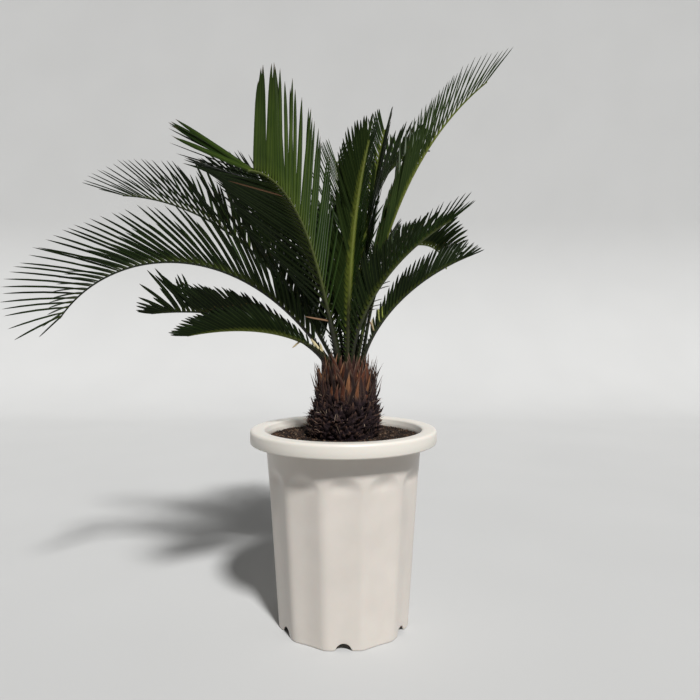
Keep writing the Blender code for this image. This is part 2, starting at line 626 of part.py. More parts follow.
def make_collar(finish):
    """Collar on the trunk's top: a blunt cone with upright pointed scales and a socket for each frond."""
    columns = 20
    angles = [2 * math.pi * k / columns for k in range(columns)]
    levels = ((TRUNK_TOP + GAP, 0.0355), (TRUNK_TOP + 0.004, 0.0395), (TRUNK_TOP + 0.016, 0.0390),
              (COLLAR_TOP - 0.005, COLLAR_RADIUS), (COLLAR_TOP, 0.0340))
    rings = [[(CROWN_CENTRE + r * math.cos(a), r * math.sin(a), z) for a in angles] for z, r in levels]
    vertices, faces = ring_solid(rings, (CROWN_CENTRE, 0.0, TRUNK_TOP + GAP), (CROWN_CENTRE, 0.0, COLLAR_TOP))
    collar = add_object("scale_collar", vertices, faces, finish)

    petioles = []
    for name in FRONDS:
        values = frond_values(name)
        petioles.append(frond_path(values, np.linspace(0.0, 0.05, 26))[0])
    draw = random.Random(7)
    scales = []
    for k in range(SCALES):
        share = (k + 0.5) / SCALES
        axis, inward = leaning_axes(k * GOLDEN_ANGLE, math.radians(draw.uniform(62, 84)))
        z = TRUNK_TOP + 0.0115 + 0.020 * share
        base = around(k * GOLDEN_ANGLE, 0.0385 - 0.003 * share, CROWN_CENTRE, z)
        length = SCALE_LENGTH * draw.uniform(0.8, 1.2)
        for shrink in (1.0, 0.8, 0.6, 0.45):
            line = [np.array(base + axis * length * shrink * part) for part in np.linspace(0.0, 1.0, 12)]
            near = min(np.linalg.norm(path[:, None, :] - np.array(line)[None, :, :], axis=2).min()
                       for path in petioles)
            if near > SCALE_CLEARANCE:
                scales.append(spike(base, axis, -inward, SCALE_WIDTH, SCALE_THICKNESS, length * shrink, 0.0,
                                    SCALE_DEPTH))
                break
    fuse(collar, scales)

    sockets = []
    for name in FRONDS:
        values = frond_values(name)
        points, along, right, up = frond_path(values, np.array([-SOCKET_DEPTH]))
        width = PETIOLE_WIDTH + 3 * GAP
        lower = rib_section(points[0] - along[0] * GAP, right[0], up[0], width)
        upper = [corner + along[0] * (SOCKET_DEPTH + 3 * SOCKET_RISE) for corner in lower]
        sockets.append((lower + upper, [(0, 1, 2), (5, 4, 3), (0, 3, 4, 1), (1, 4, 5, 2), (2, 5, 3, 0)]))
    for number, (vertices, faces) in enumerate(sockets):
        cutter = add_object(f"socket_{number}", vertices, faces)
        outward_faces(cutter)
        apply_boolean(collar, cutter, "DIFFERENCE")
        bpy.data.objects.remove(cutter)
    clean_mesh(collar)
    shade_round(collar, 35)
    return collar


for existing in list(bpy.data.objects):
    bpy.data.objects.remove(existing)

make_pot(material("pot_plastic", (0.80, 0.79, 0.76), 0.38))
make_soil(material("bark_soil", (0.050, 0.028, 0.018), 0.95))
make_trunk(material("leaf_base_bark", (0.055, 0.028, 0.024), 0.90))
make_collar(material("scale_leaf_brown", (0.190, 0.070, 0.030), 0.80))
frond_green = material("frond_green", (0.030, 0.085, 0.018), 0.45)
for frond_name, (frond_stations, frond_leaflets) in lay_fronds().items():
    make_frond(frond_name, frond_stations, frond_leaflets, frond_green)
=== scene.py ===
import math
import random

import bmesh
import bpy
import numpy as np
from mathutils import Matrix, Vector, noise


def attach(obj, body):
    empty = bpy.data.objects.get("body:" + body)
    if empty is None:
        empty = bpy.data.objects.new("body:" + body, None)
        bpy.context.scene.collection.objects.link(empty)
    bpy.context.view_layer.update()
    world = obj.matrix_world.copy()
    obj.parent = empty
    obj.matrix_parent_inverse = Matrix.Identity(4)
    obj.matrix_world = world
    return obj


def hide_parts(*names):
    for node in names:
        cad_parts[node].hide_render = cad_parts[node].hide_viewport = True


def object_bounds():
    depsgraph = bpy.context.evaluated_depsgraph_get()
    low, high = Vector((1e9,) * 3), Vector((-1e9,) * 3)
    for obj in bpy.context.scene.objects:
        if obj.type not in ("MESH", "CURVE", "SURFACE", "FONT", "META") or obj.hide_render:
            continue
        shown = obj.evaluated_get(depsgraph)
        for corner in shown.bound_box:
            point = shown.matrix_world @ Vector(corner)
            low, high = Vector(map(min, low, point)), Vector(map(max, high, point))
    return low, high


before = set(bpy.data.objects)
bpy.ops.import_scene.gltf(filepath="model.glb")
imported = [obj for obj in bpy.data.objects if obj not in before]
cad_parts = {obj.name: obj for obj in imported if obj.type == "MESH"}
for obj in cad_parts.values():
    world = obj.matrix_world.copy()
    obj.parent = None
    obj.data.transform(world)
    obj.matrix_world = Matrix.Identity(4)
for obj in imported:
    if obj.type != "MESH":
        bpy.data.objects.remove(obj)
cad_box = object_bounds()


# Pot
# A tall nursery pot, injection moulded in off-white polypropylene, with its rim rolled outward and down.
# Twelve flat faces are pressed into its cone. They run out in soft arches under the rim, and six half-round
# notches in the foot let water out from the six drain holes.

POT_HEIGHT = 0.294
RIM_RADIUS = 0.140
RIM_INNER_RADIUS = 0.118
BAND_FOOT = POT_HEIGHT - 0.020
NECK_RADIUS = 0.1165
FOOT_RADIUS = 0.0990
WALL = 0.003
FACETS = 12
FACET_HALF_ANGLE = math.radians(13.0)
RIDGE_SOFTNESS = 0.0034
ARCH_SHOULDER = 0.226
ARCH_TOP = 0.245
NOTCHES = 6
NOTCH_RADIUS = 0.012
NOTCH_HEIGHT = 0.010
NOTCH_REACH = 0.016
DRAIN_RADIUS = 0.005
DRAIN_RING_RADIUS = 0.076
POT_COLUMNS = 384


def linear(hex_colour):
    """An sRGB hex value as linear red, green and blue, with full opacity."""
    channels = [int(hex_colour[k:k + 2], 16) / 255 for k in (1, 3, 5)]
    return (*[c / 12.92 if c <= 0.04045 else ((c + 0.055) / 1.055) ** 2.4 for c in channels], 1.0)


def feed(node, inputs):
    """Sets a node's inputs. Each is a value, or the node or socket that feeds it."""
    for key, value in inputs.items():
        if isinstance(value, bpy.types.Node):
            value = value.outputs[0]
        if isinstance(value, bpy.types.NodeSocket):
            node.id_data.links.new(value, node.inputs[key])
        else:
            node.inputs[key].default_value = value


def add_node(tree, kind, inputs=None, **settings):
    """A new node with its settings and inputs."""
    node = tree.nodes.new(kind)
    for name, value in settings.items():
        setattr(node, name, value)
    feed(node, inputs or {})
    return node


def set_stops(ramp_node, stops):
    """Fills a colour ramp with places from 0 to 1 and their hex values."""
    ramp = ramp_node.color_ramp
    while len(ramp.elements) < len(stops):
        ramp.elements.new(0.5)
    for element, (place, hex_colour) in zip(ramp.elements, stops):
        element.position = place
        element.color = linear(hex_colour)
    return ramp_node


def new_finish(name, values):
    """A material and its tree and shader, with constant values on the shader's own sockets."""
    finish = bpy.data.materials.new(name)
    finish.use_nodes = True
    shader = finish.node_tree.nodes["Principled BSDF"]
    feed(shader, values)
    return finish, finish.node_tree, shader


def lay_over(tree, below, value, reach, strength, hex_colour):
    """Lays a colour over the one below, from nothing at the reach's first value to the strength at its last."""
    share = add_node(tree, "ShaderNodeMapRange", {"Value": value, "From Min": reach[0], "From Max": reach[1],
                                                  "To Max": strength})
    return add_node(tree, "ShaderNodeMix", {0: share, 6: below, 7: linear(hex_colour)}, data_type="RGBA").outputs[2]


def place_object(name, data):
    made = bpy.data.objects.new(name, data)
    bpy.context.scene.collection.objects.link(made)
    return made


def new_piece(name, vertices, faces, finish=None, sharp=None):
    """An object from its vertices and faces, smooth up to the angle sharp, in degrees, where that is given."""
    mesh = bpy.data.meshes.new(name)
    mesh.from_pydata([tuple(map(float, v)) for v in vertices], [], faces)
    mesh.update()
    if finish:
        mesh.materials.append(finish)
    if sharp is not None:
        mesh.shade_smooth()
        mesh.set_sharp_from_angle(angle=math.radians(sharp))
    return place_object(name, mesh)


def round_angles(count, start=0.0):
    return [start + 2 * math.pi * k / count for k in range(count)]


def ring_points(angles, reach, height, centre=0.0):
    """Points round an upright line through centre on the X axis. Reach and height may follow the angle."""
    points = []
    for angle in angles:
        radius = reach(angle) if callable(reach) else reach
        z = height(angle) if callable(height) else height
        points.append((centre + radius * math.cos(angle), radius * math.sin(angle), z))
    return points


def band_faces(first, count, rings):
    """Faces between rings of count points each, which start at the vertex first."""
    return [(low + k, low + (k + 1) % count, low + count + (k + 1) % count, low + count + k)
            for low in range(first, first + (rings - 1) * count, count) for k in range(count)]


def closed_rings(rings, start_pole, end_pole):
    """Vertices and faces of a closed solid: rings of equal size between two poles."""
    count = len(rings[0])
    vertices = [start_pole] + [point for ring in rings for point in ring] + [end_pole]
    faces = [(0, 1 + (k + 1) % count, 1 + k) for k in range(count)] + band_faces(1, count, len(rings))
    last = 1 + (len(rings) - 1) * count
    end = len(vertices) - 1
    faces += [(last + k, last + (k + 1) % count, end) for k in range(count)]
    return vertices, faces


def smooth_step(low, high, value):
    share = np.clip((value - low) / (high - low), 0.0, 1.0)
    return share * share * (3.0 - 2.0 * share)


# Shares of the radius by which a face is hollowed along its middle and scooped out just under its arch, and by
# which it comes forward over the arch until its ridges are gone
FACET_HOLLOW = 0.009
SCOOP_SHARE = 0.019
SWELL_SHARE = 0.010
# Heights over which these begin and end, from the arch's shoulder or its top
ARCH_EASE = 0.003
SCOOP_RISE = 0.006
SCOOP_SPREAD = 0.010
SWELL_BELOW = 0.002
SWELL_ABOVE = 0.014


def off_middle(angle, pitch):
    """Angle from the middle of the nearest face or notch, one of which is straight in front."""
    return (angle + math.pi / 2 + pitch / 2) % pitch - pitch / 2


def wall_radius(angle, z):
    """Outer face of the wall: the cone, pressed flat on 12 faces, with soft ridges and arched tops."""
    pitch = 2 * math.pi / FACETS
    aside = off_middle(angle, pitch)
    flat = math.cos(FACET_HALF_ANGLE)
    climb = smooth_step(ARCH_SHOULDER - ARCH_EASE, ARCH_TOP + ARCH_EASE, z)
    swell = SWELL_SHARE * smooth_step(ARCH_TOP - SWELL_BELOW, ARCH_TOP + SWELL_ABOVE, z)
    scoop = SCOOP_SHARE * math.exp(-((z - ARCH_SHOULDER - SCOOP_RISE) / SCOOP_SPREAD) ** 2)
    hollow = (FACET_HOLLOW * (1.0 - climb) + scoop) * math.cos(math.pi * aside / pitch) ** 2
    face = (flat + (1.0 - flat) * climb + swell - hollow) / np.cos(aside)
    blend = -RIDGE_SOFTNESS * np.log(np.exp(-1.0 / RIDGE_SOFTNESS) + np.exp(-face / RIDGE_SOFTNESS))
    return (FOOT_RADIUS + (NECK_RADIUS - FOOT_RADIUS) * z / BAND_FOOT) * np.minimum(blend, 1.0)


def notch_height(angle):
    """How high the foot is lifted over a notch, with the notches at the front, the back and between."""
    along = abs(off_middle(angle, 2 * math.pi / NOTCHES)) * FOOT_RADIUS
    inside = NOTCH_RADIUS ** 2 - along ** 2
    return max(0.0, NOTCH_HEIGHT - NOTCH_RADIUS + math.sqrt(inside)) if inside > 0 else 0.0


pot_angles = round_angles(POT_COLUMNS, -math.pi / 2)


def pot_ring(z, radius=None, inset=0.0):
    """One ring of the pot: a plain circle, or the wall's outline moved in by the inset."""
    if radius is not None:
        return ring_points(pot_angles, radius, z)

    def lifted(angle):
        lift = notch_height(angle)
        return lift + z * (NOTCH_REACH - lift) / NOTCH_REACH

    return ring_points(pot_angles, lambda angle: wall_radius(angle, z) - inset, lifted if z < NOTCH_REACH else z)


# Profile from the middle of the base, under the foot and up the wall, round the rim and down inside
profile = [dict(radius=r, z=z) for r, z in (
    (0.0560, 0.0), (0.0572, 0.0004), (0.0579, 0.0016), (0.0583, 0.0064), (0.0590, 0.0077), (0.0605, 0.0080))]
profile += [dict(inset=d, z=z) for d, z in (
    (0.0052, 0.0080), (0.0042, 0.0074), (0.0038, 0.0060), (0.0030, 0.0008), (0.0025, 0.0), (0.0012, 0.0),
    (0.0003, 0.0005), (0.0, 0.0014))]
for low, high, count in ((0.003, 0.018, 6), (0.030, 0.213, 9), (0.219, 0.262, 24)):
    profile += [dict(z=z) for z in np.linspace(low, high, count)]
profile += [dict(radius=NECK_RADIUS + d, z=z) for d, z in (
    (0.0, BAND_FOOT), (0.0008, 0.2860), (0.0020, 0.2896), (0.0045, 0.2908))]
profile += [dict(radius=RIM_RADIUS - d, z=z) for d, z in (
    (0.0065, 0.2908), (0.0040, 0.2898), (0.0034, 0.2870), (0.0030, 0.2752), (0.0026, 0.2742), (0.0016, 0.2737),
    (0.0006, 0.2743), (0.0, 0.2758), (0.0, 0.2835), (0.0, 0.2895), (0.0004, 0.2914), (0.0014, 0.2929),
    (0.0029, 0.2938), (0.0048, 0.2940), (0.0110, 0.2940))]
profile += [dict(radius=RIM_INNER_RADIUS + d, z=z) for d, z in (
    (0.0042, 0.2939), (0.0018, 0.2934), (0.0003, 0.2924), (-0.0005, 0.2908), (-0.0009, 0.2885))]
profile += [dict(inset=WALL, z=z) for z in (
    0.2840, 0.2810, 0.2780, 0.2740, 0.262, 0.250, 0.238, 0.226, 0.170, 0.110, 0.050, 0.0140)]
profile += [dict(inset=d, z=z) for d, z in ((0.0036, 0.0118), (0.0060, 0.0110))]
profile += [dict(radius=r, z=z) for r, z in (
    (0.0600, 0.0110), (0.0577, 0.0104), (0.0562, 0.0085), (0.0555, 0.0045), (0.0545, 0.0033), (0.0530, 0.0030))]
pot_shell = new_piece("pot_shell", *closed_rings([pot_ring(**step) for step in profile], (0, 0, 0), (0, 0, WALL)))

# Six plugs that go right through the floor of the pot are cut out of it
DRILL_SIDES = 24
DRILL_LENGTH = 0.012
DRILL_MIDDLE = 0.0095
drill = bmesh.new()
for k in range(NOTCHES):
    angle = -math.pi / 2 + k * 2 * math.pi / NOTCHES
    hole = bmesh.ops.create_cone(drill, cap_ends=True, segments=DRILL_SIDES, radius1=DRAIN_RADIUS,
                                 radius2=DRAIN_RADIUS, depth=DRILL_LENGTH)
    bmesh.ops.translate(drill, verts=hole["verts"], vec=ring_points([angle], DRAIN_RING_RADIUS, DRILL_MIDDLE)[0])
drill_mesh = bpy.data.meshes.new("drain_drill")
drill.to_mesh(drill_mesh)
drill.free()
drain_drill = place_object("drain_drill", drill_mesh)
cut = pot_shell.modifiers.new("drains", "BOOLEAN")
cut.object = drain_drill
cut.operation = "DIFFERENCE"
cut.solver = "MANIFOLD"
drained = bpy.data.meshes.new_from_object(pot_shell.evaluated_get(bpy.context.evaluated_depsgraph_get()))
pot_shell.modifiers.remove(cut)
pot_shell.data = drained
bpy.data.objects.remove(drain_drill)
drained.shade_smooth()
drained.set_sharp_from_angle(angle=math.radians(50))

# Polypropylene, moulded in a polished steel mould: a warm off-white with a satin gloss, faintly clouded in
# patches about 45 mm wide, with a fine skin about 1.5 mm in pitch. The rim is a little lighter, which is painted
# light, and a speckled brown-grey painted shade lies on the inner wall from 264 mm up to 290 mm, where it thins
# out.
WALL_SHADE_FOOT = 0.264
WALL_SHADE_FULL = 0.278
WALL_SHADE_TOP = 0.290
INNER_FACE = 0.1158
pot_finish, tree, shader = new_finish("polypropylene_moulded", {
    "IOR": 1.49, "Subsurface Weight": 0.06, "Subsurface Scale": 0.004})
place = add_node(tree, "ShaderNodeTexCoord")
cloud = add_node(tree, "ShaderNodeTexNoise", {"Vector": place.outputs["Object"], "Scale": 1 / 0.045, "Detail": 3.0})
clouded = set_stops(add_node(tree, "ShaderNodeValToRGB", {"Fac": cloud}), ((0.30, "#C6BFB7"), (0.70, "#CCC5BD")))
height = add_node(tree, "ShaderNodeSeparateXYZ", {"Vector": place.outputs["Object"]})
# Painted light: the pot is painted a lighter off-white from just under the rim upward
tone = lay_over(tree, clouded, height.outputs["Z"], (BAND_FOOT - 0.004, BAND_FOOT + 0.002), 1.0, "#D4CFC6")
flat_place = add_node(tree, "ShaderNodeCombineXYZ", {"X": height.outputs["X"], "Y": height.outputs["Y"]})
from_axis = add_node(tree, "ShaderNodeVectorMath", {0: flat_place}, operation="LENGTH")
# Painted shade: a speckled brown-grey darkening on the inner wall from 264 mm up, thinning out from 278 to 290 mm
inside = add_node(tree, "ShaderNodeMapRange", {"Value": from_axis.outputs["Value"], "From Min": INNER_FACE,
                                               "From Max": INNER_FACE - 0.001})
low = add_node(tree, "ShaderNodeMapRange", {"Value": height.outputs["Z"], "From Min": WALL_SHADE_TOP,
                                            "From Max": WALL_SHADE_FULL})
wall_shade_place = add_node(tree, "ShaderNodeMath", {0: inside, 1: low}, operation="MULTIPLY")
speck = add_node(tree, "ShaderNodeTexNoise", {"Vector": place.outputs["Object"], "Scale": 1 / 0.006, "Detail": 6.0,
                                              "Roughness": 0.7})
wall_shade_speckle = add_node(tree, "ShaderNodeMapRange", {"Value": speck, "From Min": 0.40, "From Max": 0.75,
                                                   "To Min": 0.35, "To Max": 0.90})
wall_shade = add_node(tree, "ShaderNodeMath", {0: wall_shade_place, 1: wall_shade_speckle}, operation="MULTIPLY")
above_foot = add_node(tree, "ShaderNodeMath", {0: height.outputs["Z"], 1: WALL_SHADE_FOOT}, operation="GREATER_THAN")
wall_shade_above = add_node(tree, "ShaderNodeMath", {0: wall_shade, 1: above_foot}, operation="MULTIPLY")
wall_shaded_tone = add_node(tree, "ShaderNodeMix", {0: wall_shade_above, 6: tone, 7: linear("#75665A")}, data_type="RGBA")
skin = add_node(tree, "ShaderNodeTexNoise", {"Vector": place.outputs["Object"], "Scale": 1 / 0.0015, "Detail": 2.0})
gloss = add_node(tree, "ShaderNodeMapRange", {"Value": cloud, "From Min": 0.3, "From Max": 0.7, "To Min": 0.32,
                                              "To Max": 0.42})
relief = add_node(tree, "ShaderNodeBump", {"Height": skin, "Strength": 0.12, "Distance": 0.0001})
feed(shader, {"Base Color": wall_shaded_tone.outputs[2], "Roughness": gloss, "Normal": relief})
pot_shell.data.materials.clear()
pot_shell.data.materials.append(pot_finish)
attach(pot_shell, "root")
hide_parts("pot")


# Soil
# Fine composted bark and peat, poured round the roots to a little below the rim and pressed down by hand.
# Its top is uneven, and loose chips of bark from 2 to 7 mm long lie all over it.

SOIL_TOP = 0.281
HOLE_BOTTOM = 0.195
SEAT_GAP = 0.0004
SOIL_COLUMNS = 192
SOIL_RINGS = 22
SOIL_INNER_RADIUS = 0.0525
SOIL_OUTER_RADIUS = 0.1125
MOUND_WIDTH, MOUND_HEIGHT = 0.030, 0.0016
CLOD_WIDTH, CLOD_HEIGHT = 0.007, 0.0009
TRUNK_FOOT_RADIUS = 0.030
BURIED_SWELL = 0.020


def buried_radius(z):
    """Trunk below the soil: a blunt cone that narrows to its foot."""
    climb = np.clip((z - HOLE_BOTTOM) / (SOIL_TOP - HOLE_BOTTOM), 0.0, 1.0)
    return TRUNK_FOOT_RADIUS + BURIED_SWELL * climb ** 0.6


soil_angles = round_angles(SOIL_COLUMNS)


def soil_ring(radius, lift=0.0):
    """A ring that follows the uneven top of the soil, at a height above it."""
    def soil_height(angle):
        x, y = radius * math.cos(angle), radius * math.sin(angle)
        mound = noise.noise(Vector((x, y, 0.0)) / MOUND_WIDTH)
        clod = noise.noise(Vector((x, y, 0.3)) / CLOD_WIDTH)
        return SOIL_TOP + MOUND_HEIGHT * mound + CLOD_HEIGHT * clod + lift

    return ring_points(soil_angles, radius, soil_height)


# From the middle of the floor up along the wall, over the top and down the hole for the trunk
soil_rings = [ring_points(soil_angles, SOIL_INNER_RADIUS, WALL + SEAT_GAP), ring_points(soil_angles, 0.0550, 0.0114)]
for z in (0.0145, 0.060, 0.120, 0.180, 0.226, 0.238, 0.250, 0.268, SOIL_TOP - 0.003):
    soil_rings.append(ring_points(soil_angles, lambda angle: wall_radius(angle, z) - WALL - SEAT_GAP, z))
soil_rings += [soil_ring(radius) for radius in np.linspace(SOIL_OUTER_RADIUS, SOIL_INNER_RADIUS, SOIL_RINGS)]
for z in (SOIL_TOP - 0.012, SOIL_TOP - 0.045, HOLE_BOTTOM):
    soil_rings.append(ring_points(soil_angles, buried_radius(z) + SEAT_GAP, z))
soil_body = new_piece("soil_body", *closed_rings(soil_rings, (0, 0, WALL + SEAT_GAP), (0, 0, HOLE_BOTTOM)), sharp=60)

# Damp bark compost: dark brown, matt, mottled in crumbs about 3 mm across
soil_finish, tree, shader = new_finish("bark_compost", {"Roughness": 0.95, "Specular IOR Level": 0.25})
place = add_node(tree, "ShaderNodeTexCoord")
crumb = add_node(tree, "ShaderNodeTexNoise", {"Vector": place.outputs["Object"], "Scale": 1 / 0.003, "Detail": 6.0,
                                              "Roughness": 0.65})
tone = set_stops(add_node(tree, "ShaderNodeValToRGB", {"Fac": crumb}),
                 ((0.32, "#0F0907"), (0.55, "#22160F"), (0.75, "#3A281B")))
relief = add_node(tree, "ShaderNodeBump", {"Height": crumb, "Strength": 0.8, "Distance": 0.0012})
feed(shader, {"Base Color": tone, "Normal": relief})
soil_body.data.materials.append(soil_finish)

# Chips: the same bark, dry on top, from nearly black to a pale tan, mottled finely over each chip
chip_finish, tree, shader = new_finish("bark_chip", {"Roughness": 0.88, "Specular IOR Level": 0.3})
chip_tint = add_node(tree, "ShaderNodeAttribute", attribute_name="tint")
tone = set_stops(add_node(tree, "ShaderNodeValToRGB", {"Fac": chip_tint.outputs["Fac"]}),
                 ((0.0, "#0E0906"), (0.45, "#1E130D"), (0.75, "#37251A"), (0.93, "#5A4331"), (1.0, "#8E7862")))
place = add_node(tree, "ShaderNodeTexCoord")
grain = add_node(tree, "ShaderNodeTexNoise", {"Vector": place.outputs["Object"], "Scale": 1 / 0.0012, "Detail": 4.0})
shade = add_node(tree, "ShaderNodeMapRange", {"Value": grain, "From Min": 0.3, "From Max": 0.7, "To Min": 0.6,
                                              "To Max": 1.25})
toned = add_node(tree, "ShaderNodeVectorMath", {0: tone, "Scale": shade}, operation="SCALE")
relief = add_node(tree, "ShaderNodeBump", {"Height": grain, "Strength": 0.6, "Distance": 0.0006})
feed(shader, {"Base Color": toned, "Normal": relief})


def tree_input(tree, name, kind):
    """A named input of a Geometry Nodes tree. Returns the identifier that a modifier is set by."""
    return tree.interface.new_socket(name, in_out="INPUT", socket_type="NodeSocket" + kind).identifier


def grown_mesh(piece, tree, values):
    """Runs a tree on the piece with its inputs set by identifier, and keeps the result as a plain mesh."""
    growth = piece.modifiers.new("growth", "NODES")
    growth.node_group = tree
    for identifier, value in values.items():
        growth[identifier] = value
    depsgraph = bpy.context.evaluated_depsgraph_get()
    made = bpy.data.meshes.new_from_object(piece.evaluated_get(depsgraph), preserve_all_data_layers=True,
                                           depsgraph=depsgraph)
    piece.modifiers.remove(growth)
    piece.data = made
    made.name = piece.name


def tint_copies(tree, copies, seed):
    """Gives each copy a random tint from 0 to 1, for its material."""
    draw = add_node(tree, "FunctionNodeRandomValue", {2: 0.0, 3: 1.0, "Seed": seed}, data_type="FLOAT")
    return add_node(tree, "GeometryNodeStoreNamedAttribute", {
        "Geometry": copies, "Name": "tint", "Value": draw.outputs["Value"]}, data_type="FLOAT", domain="INSTANCE")


# A tree that strews chips over a surface, each turned and sized at random
scatter = bpy.data.node_groups.new("chips_on_soil", "GeometryNodeTree")
tree_input(scatter, "Geometry", "Geometry")
chip_density = tree_input(scatter, "Chips per square metre", "Float")
chip_length = tree_input(scatter, "Mean length", "Float")
chip_seed = tree_input(scatter, "Seed", "Int")
chip_material = tree_input(scatter, "Finish", "Material")
scatter.interface.new_socket("Geometry", in_out="OUTPUT", socket_type="NodeSocketGeometry")
entry = add_node(scatter, "NodeGroupInput")
spread = add_node(scatter, "GeometryNodeDistributePointsOnFaces", {
    "Mesh": entry.outputs["Geometry"], "Density": entry.outputs["Chips per square metre"],
    "Seed": entry.outputs["Seed"]})
lump = add_node(scatter, "GeometryNodeMeshIcoSphere", {"Radius": 0.5, "Subdivisions": 1})
turn = add_node(scatter, "FunctionNodeRandomValue", {0: (-0.5, -0.5, 0.0), 1: (0.5, 0.5, 6.2832),
                                                     "Seed": entry.outputs["Seed"]}, data_type="FLOAT_VECTOR")
shape = add_node(scatter, "FunctionNodeRandomValue", {0: (0.55, 0.30, 0.15), 1: (1.70, 0.80, 0.40),
                                                      "Seed": entry.outputs["Seed"]}, data_type="FLOAT_VECTOR")
chip_size = add_node(scatter, "ShaderNodeVectorMath", {0: shape, "Scale": entry.outputs["Mean length"]},
                     operation="SCALE")
chips = add_node(scatter, "GeometryNodeInstanceOnPoints", {"Points": spread.outputs["Points"], "Instance": lump,
                                                           "Rotation": turn, "Scale": chip_size})
real = add_node(scatter, "GeometryNodeRealizeInstances", {0: tint_copies(scatter, chips, entry.outputs["Seed"])})
dressed = add_node(scatter, "GeometryNodeSetMaterial", {"Geometry": real, "Material": entry.outputs["Finish"]})
add_node(scatter, "NodeGroupOutput", {0: dressed})

CHIP_LIFT = 0.0004
CHIPS_PER_SQUARE_METRE = 150000.0
CHIP_LENGTH = 0.0042
chip_rings = [soil_ring(radius, CHIP_LIFT) for radius in np.linspace(0.1115, 0.0500, 16)]
bark_chips = new_piece("bark_chips", [point for ring in chip_rings for point in ring],
                       band_faces(0, SOIL_COLUMNS, len(chip_rings)))
grown_mesh(bark_chips, scatter, {chip_density: CHIPS_PER_SQUARE_METRE, chip_length: CHIP_LENGTH, chip_seed: 5,
                                 chip_material: chip_finish})
for piece in (soil_body, bark_chips):
    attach(piece, "root")
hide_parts("soil")


# Trunk
# A short barrel of pith and old wood. Its whole outside is the woody bases of shed fronds, packed in spirals,
# each a blunt diamond stub that ends in a ragged upturned point, with dry fibres between them.

GOLDEN_ANGLE = math.radians(137.508)
TRUNK_TOP = 0.345
TRUNK_RADIUS = 0.0490
TRUNK_BELLY = 0.004
TRUNK_TAPER = 0.0085
TRUNK_COLUMNS = 96
CROWN_CENTRE = 0.004
LEAF_BASES = 420
# Longest length, half width and half thickness, in metres
LEAF_BASE_SIZE = (0.0125, 0.0058, 0.0036)
FIBRES = 900
FIBRE_SIZE = (0.0135, 0.0006, 0.0005)


def trunk_radius(z):
    """Trunk above the soil, under its leaf bases."""
    climb = (z - SOIL_TOP) / (TRUNK_TOP - SOIL_TOP)
    belly = TRUNK_BELLY * math.sin(math.pi * min(climb * 1.5, 1.0))
    return TRUNK_RADIUS + belly - TRUNK_TAPER * max(climb, 0.0) ** 1.6


def trunk_centre(z):
    """The trunk leans a little to +X as it rises."""
    return CROWN_CENTRE * float(np.clip((z - SOIL_TOP) / (TRUNK_TOP - SOIL_TOP), 0.0, 1.0))


def around(angle, radius, z):
    return Vector((trunk_centre(z) + radius * math.cos(angle), radius * math.sin(angle), z))


def leaning_axes(angle, lean):
    """Outward direction at an angle round the trunk, tilted up by lean, with the side and up directions to it."""
    level = Vector((math.cos(angle), math.sin(angle), 0.0))
    above = Vector((0.0, 0.0, 1.0))
    outward = level * math.cos(lean) + above * math.sin(lean)
    upward = above * math.cos(lean) - level * math.sin(lean)
    return outward, outward.cross(upward), upward


# A tree that grows copies of one small shape from points. The shape's own coordinates run along, across and
# through it. Each point says where its copy is rooted, its three directions, its size and how its tip bends.
ROOT_FIELDS = ("root", "aim", "across", "face", "curl", "size")
outgrowth = bpy.data.node_groups.new("outgrowths", "GeometryNodeTree")
tree_input(outgrowth, "Geometry", "Geometry")
outgrowth_inputs = [tree_input(outgrowth, name, kind) for name, kind in (
    ("Template", "Object"), ("Length", "Float"), ("Width", "Float"), ("Thickness", "Float"), ("Stray", "Float"),
    ("Seed", "Int"), ("Body Finish", "Material"), ("Growth Finish", "Material"))]
outgrowth.interface.new_socket("Geometry", in_out="OUTPUT", socket_type="NodeSocketGeometry")
entry = add_node(outgrowth, "NodeGroupInput")
grown = add_node(outgrowth, "GeometryNodeInputNamedAttribute", {"Name": "grown"}, data_type="BOOLEAN")
parted = add_node(outgrowth, "GeometryNodeSeparateGeometry", {"Geometry": entry.outputs["Geometry"],
                                                             "Selection": grown}, domain="POINT")
template = add_node(outgrowth, "GeometryNodeObjectInfo", {"Object": entry.outputs["Template"]})
copies = add_node(outgrowth, "GeometryNodeInstanceOnPoints", {"Points": parted.outputs["Selection"],
                                                             "Instance": template.outputs["Geometry"]})
tinted = tint_copies(outgrowth, copies, entry.outputs["Seed"])
wander = add_node(outgrowth, "FunctionNodeRandomValue", {0: (-1.0, -1.0, -1.0), 1: (1.0, 1.0, 1.0),
                                                         "Seed": entry.outputs["Seed"]}, data_type="FLOAT_VECTOR")
wander_size = add_node(outgrowth, "ShaderNodeVectorMath", {0: wander, "Scale": entry.outputs["Stray"]},
                       operation="SCALE")
strayed = add_node(outgrowth, "GeometryNodeStoreNamedAttribute", {"Geometry": tinted, "Name": "stray",
                                                                 "Value": wander_size},
                   data_type="FLOAT_VECTOR", domain="INSTANCE")
joined = add_node(outgrowth, "GeometryNodeJoinGeometry", {0: strayed})
outgrowth.links.new(parted.outputs["Inverted"], joined.inputs[0])
real = add_node(outgrowth, "GeometryNodeRealizeInstances", {0: joined})
given = {name: add_node(outgrowth, "GeometryNodeInputNamedAttribute", {"Name": name}, data_type="FLOAT_VECTOR")
         for name in ("shape", "stray") + ROOT_FIELDS}
largest = add_node(outgrowth, "ShaderNodeCombineXYZ", {"X": entry.outputs["Length"], "Y": entry.outputs["Width"],
                                                      "Z": entry.outputs["Thickness"]})
own_size = add_node(outgrowth, "ShaderNodeVectorMath", {0: given["size"], 1: largest}, operation="MULTIPLY")
scaled = add_node(outgrowth, "ShaderNodeVectorMath", {0: given["shape"], 1: own_size}, operation="MULTIPLY")
parts = add_node(outgrowth, "ShaderNodeSeparateXYZ", {0: scaled})
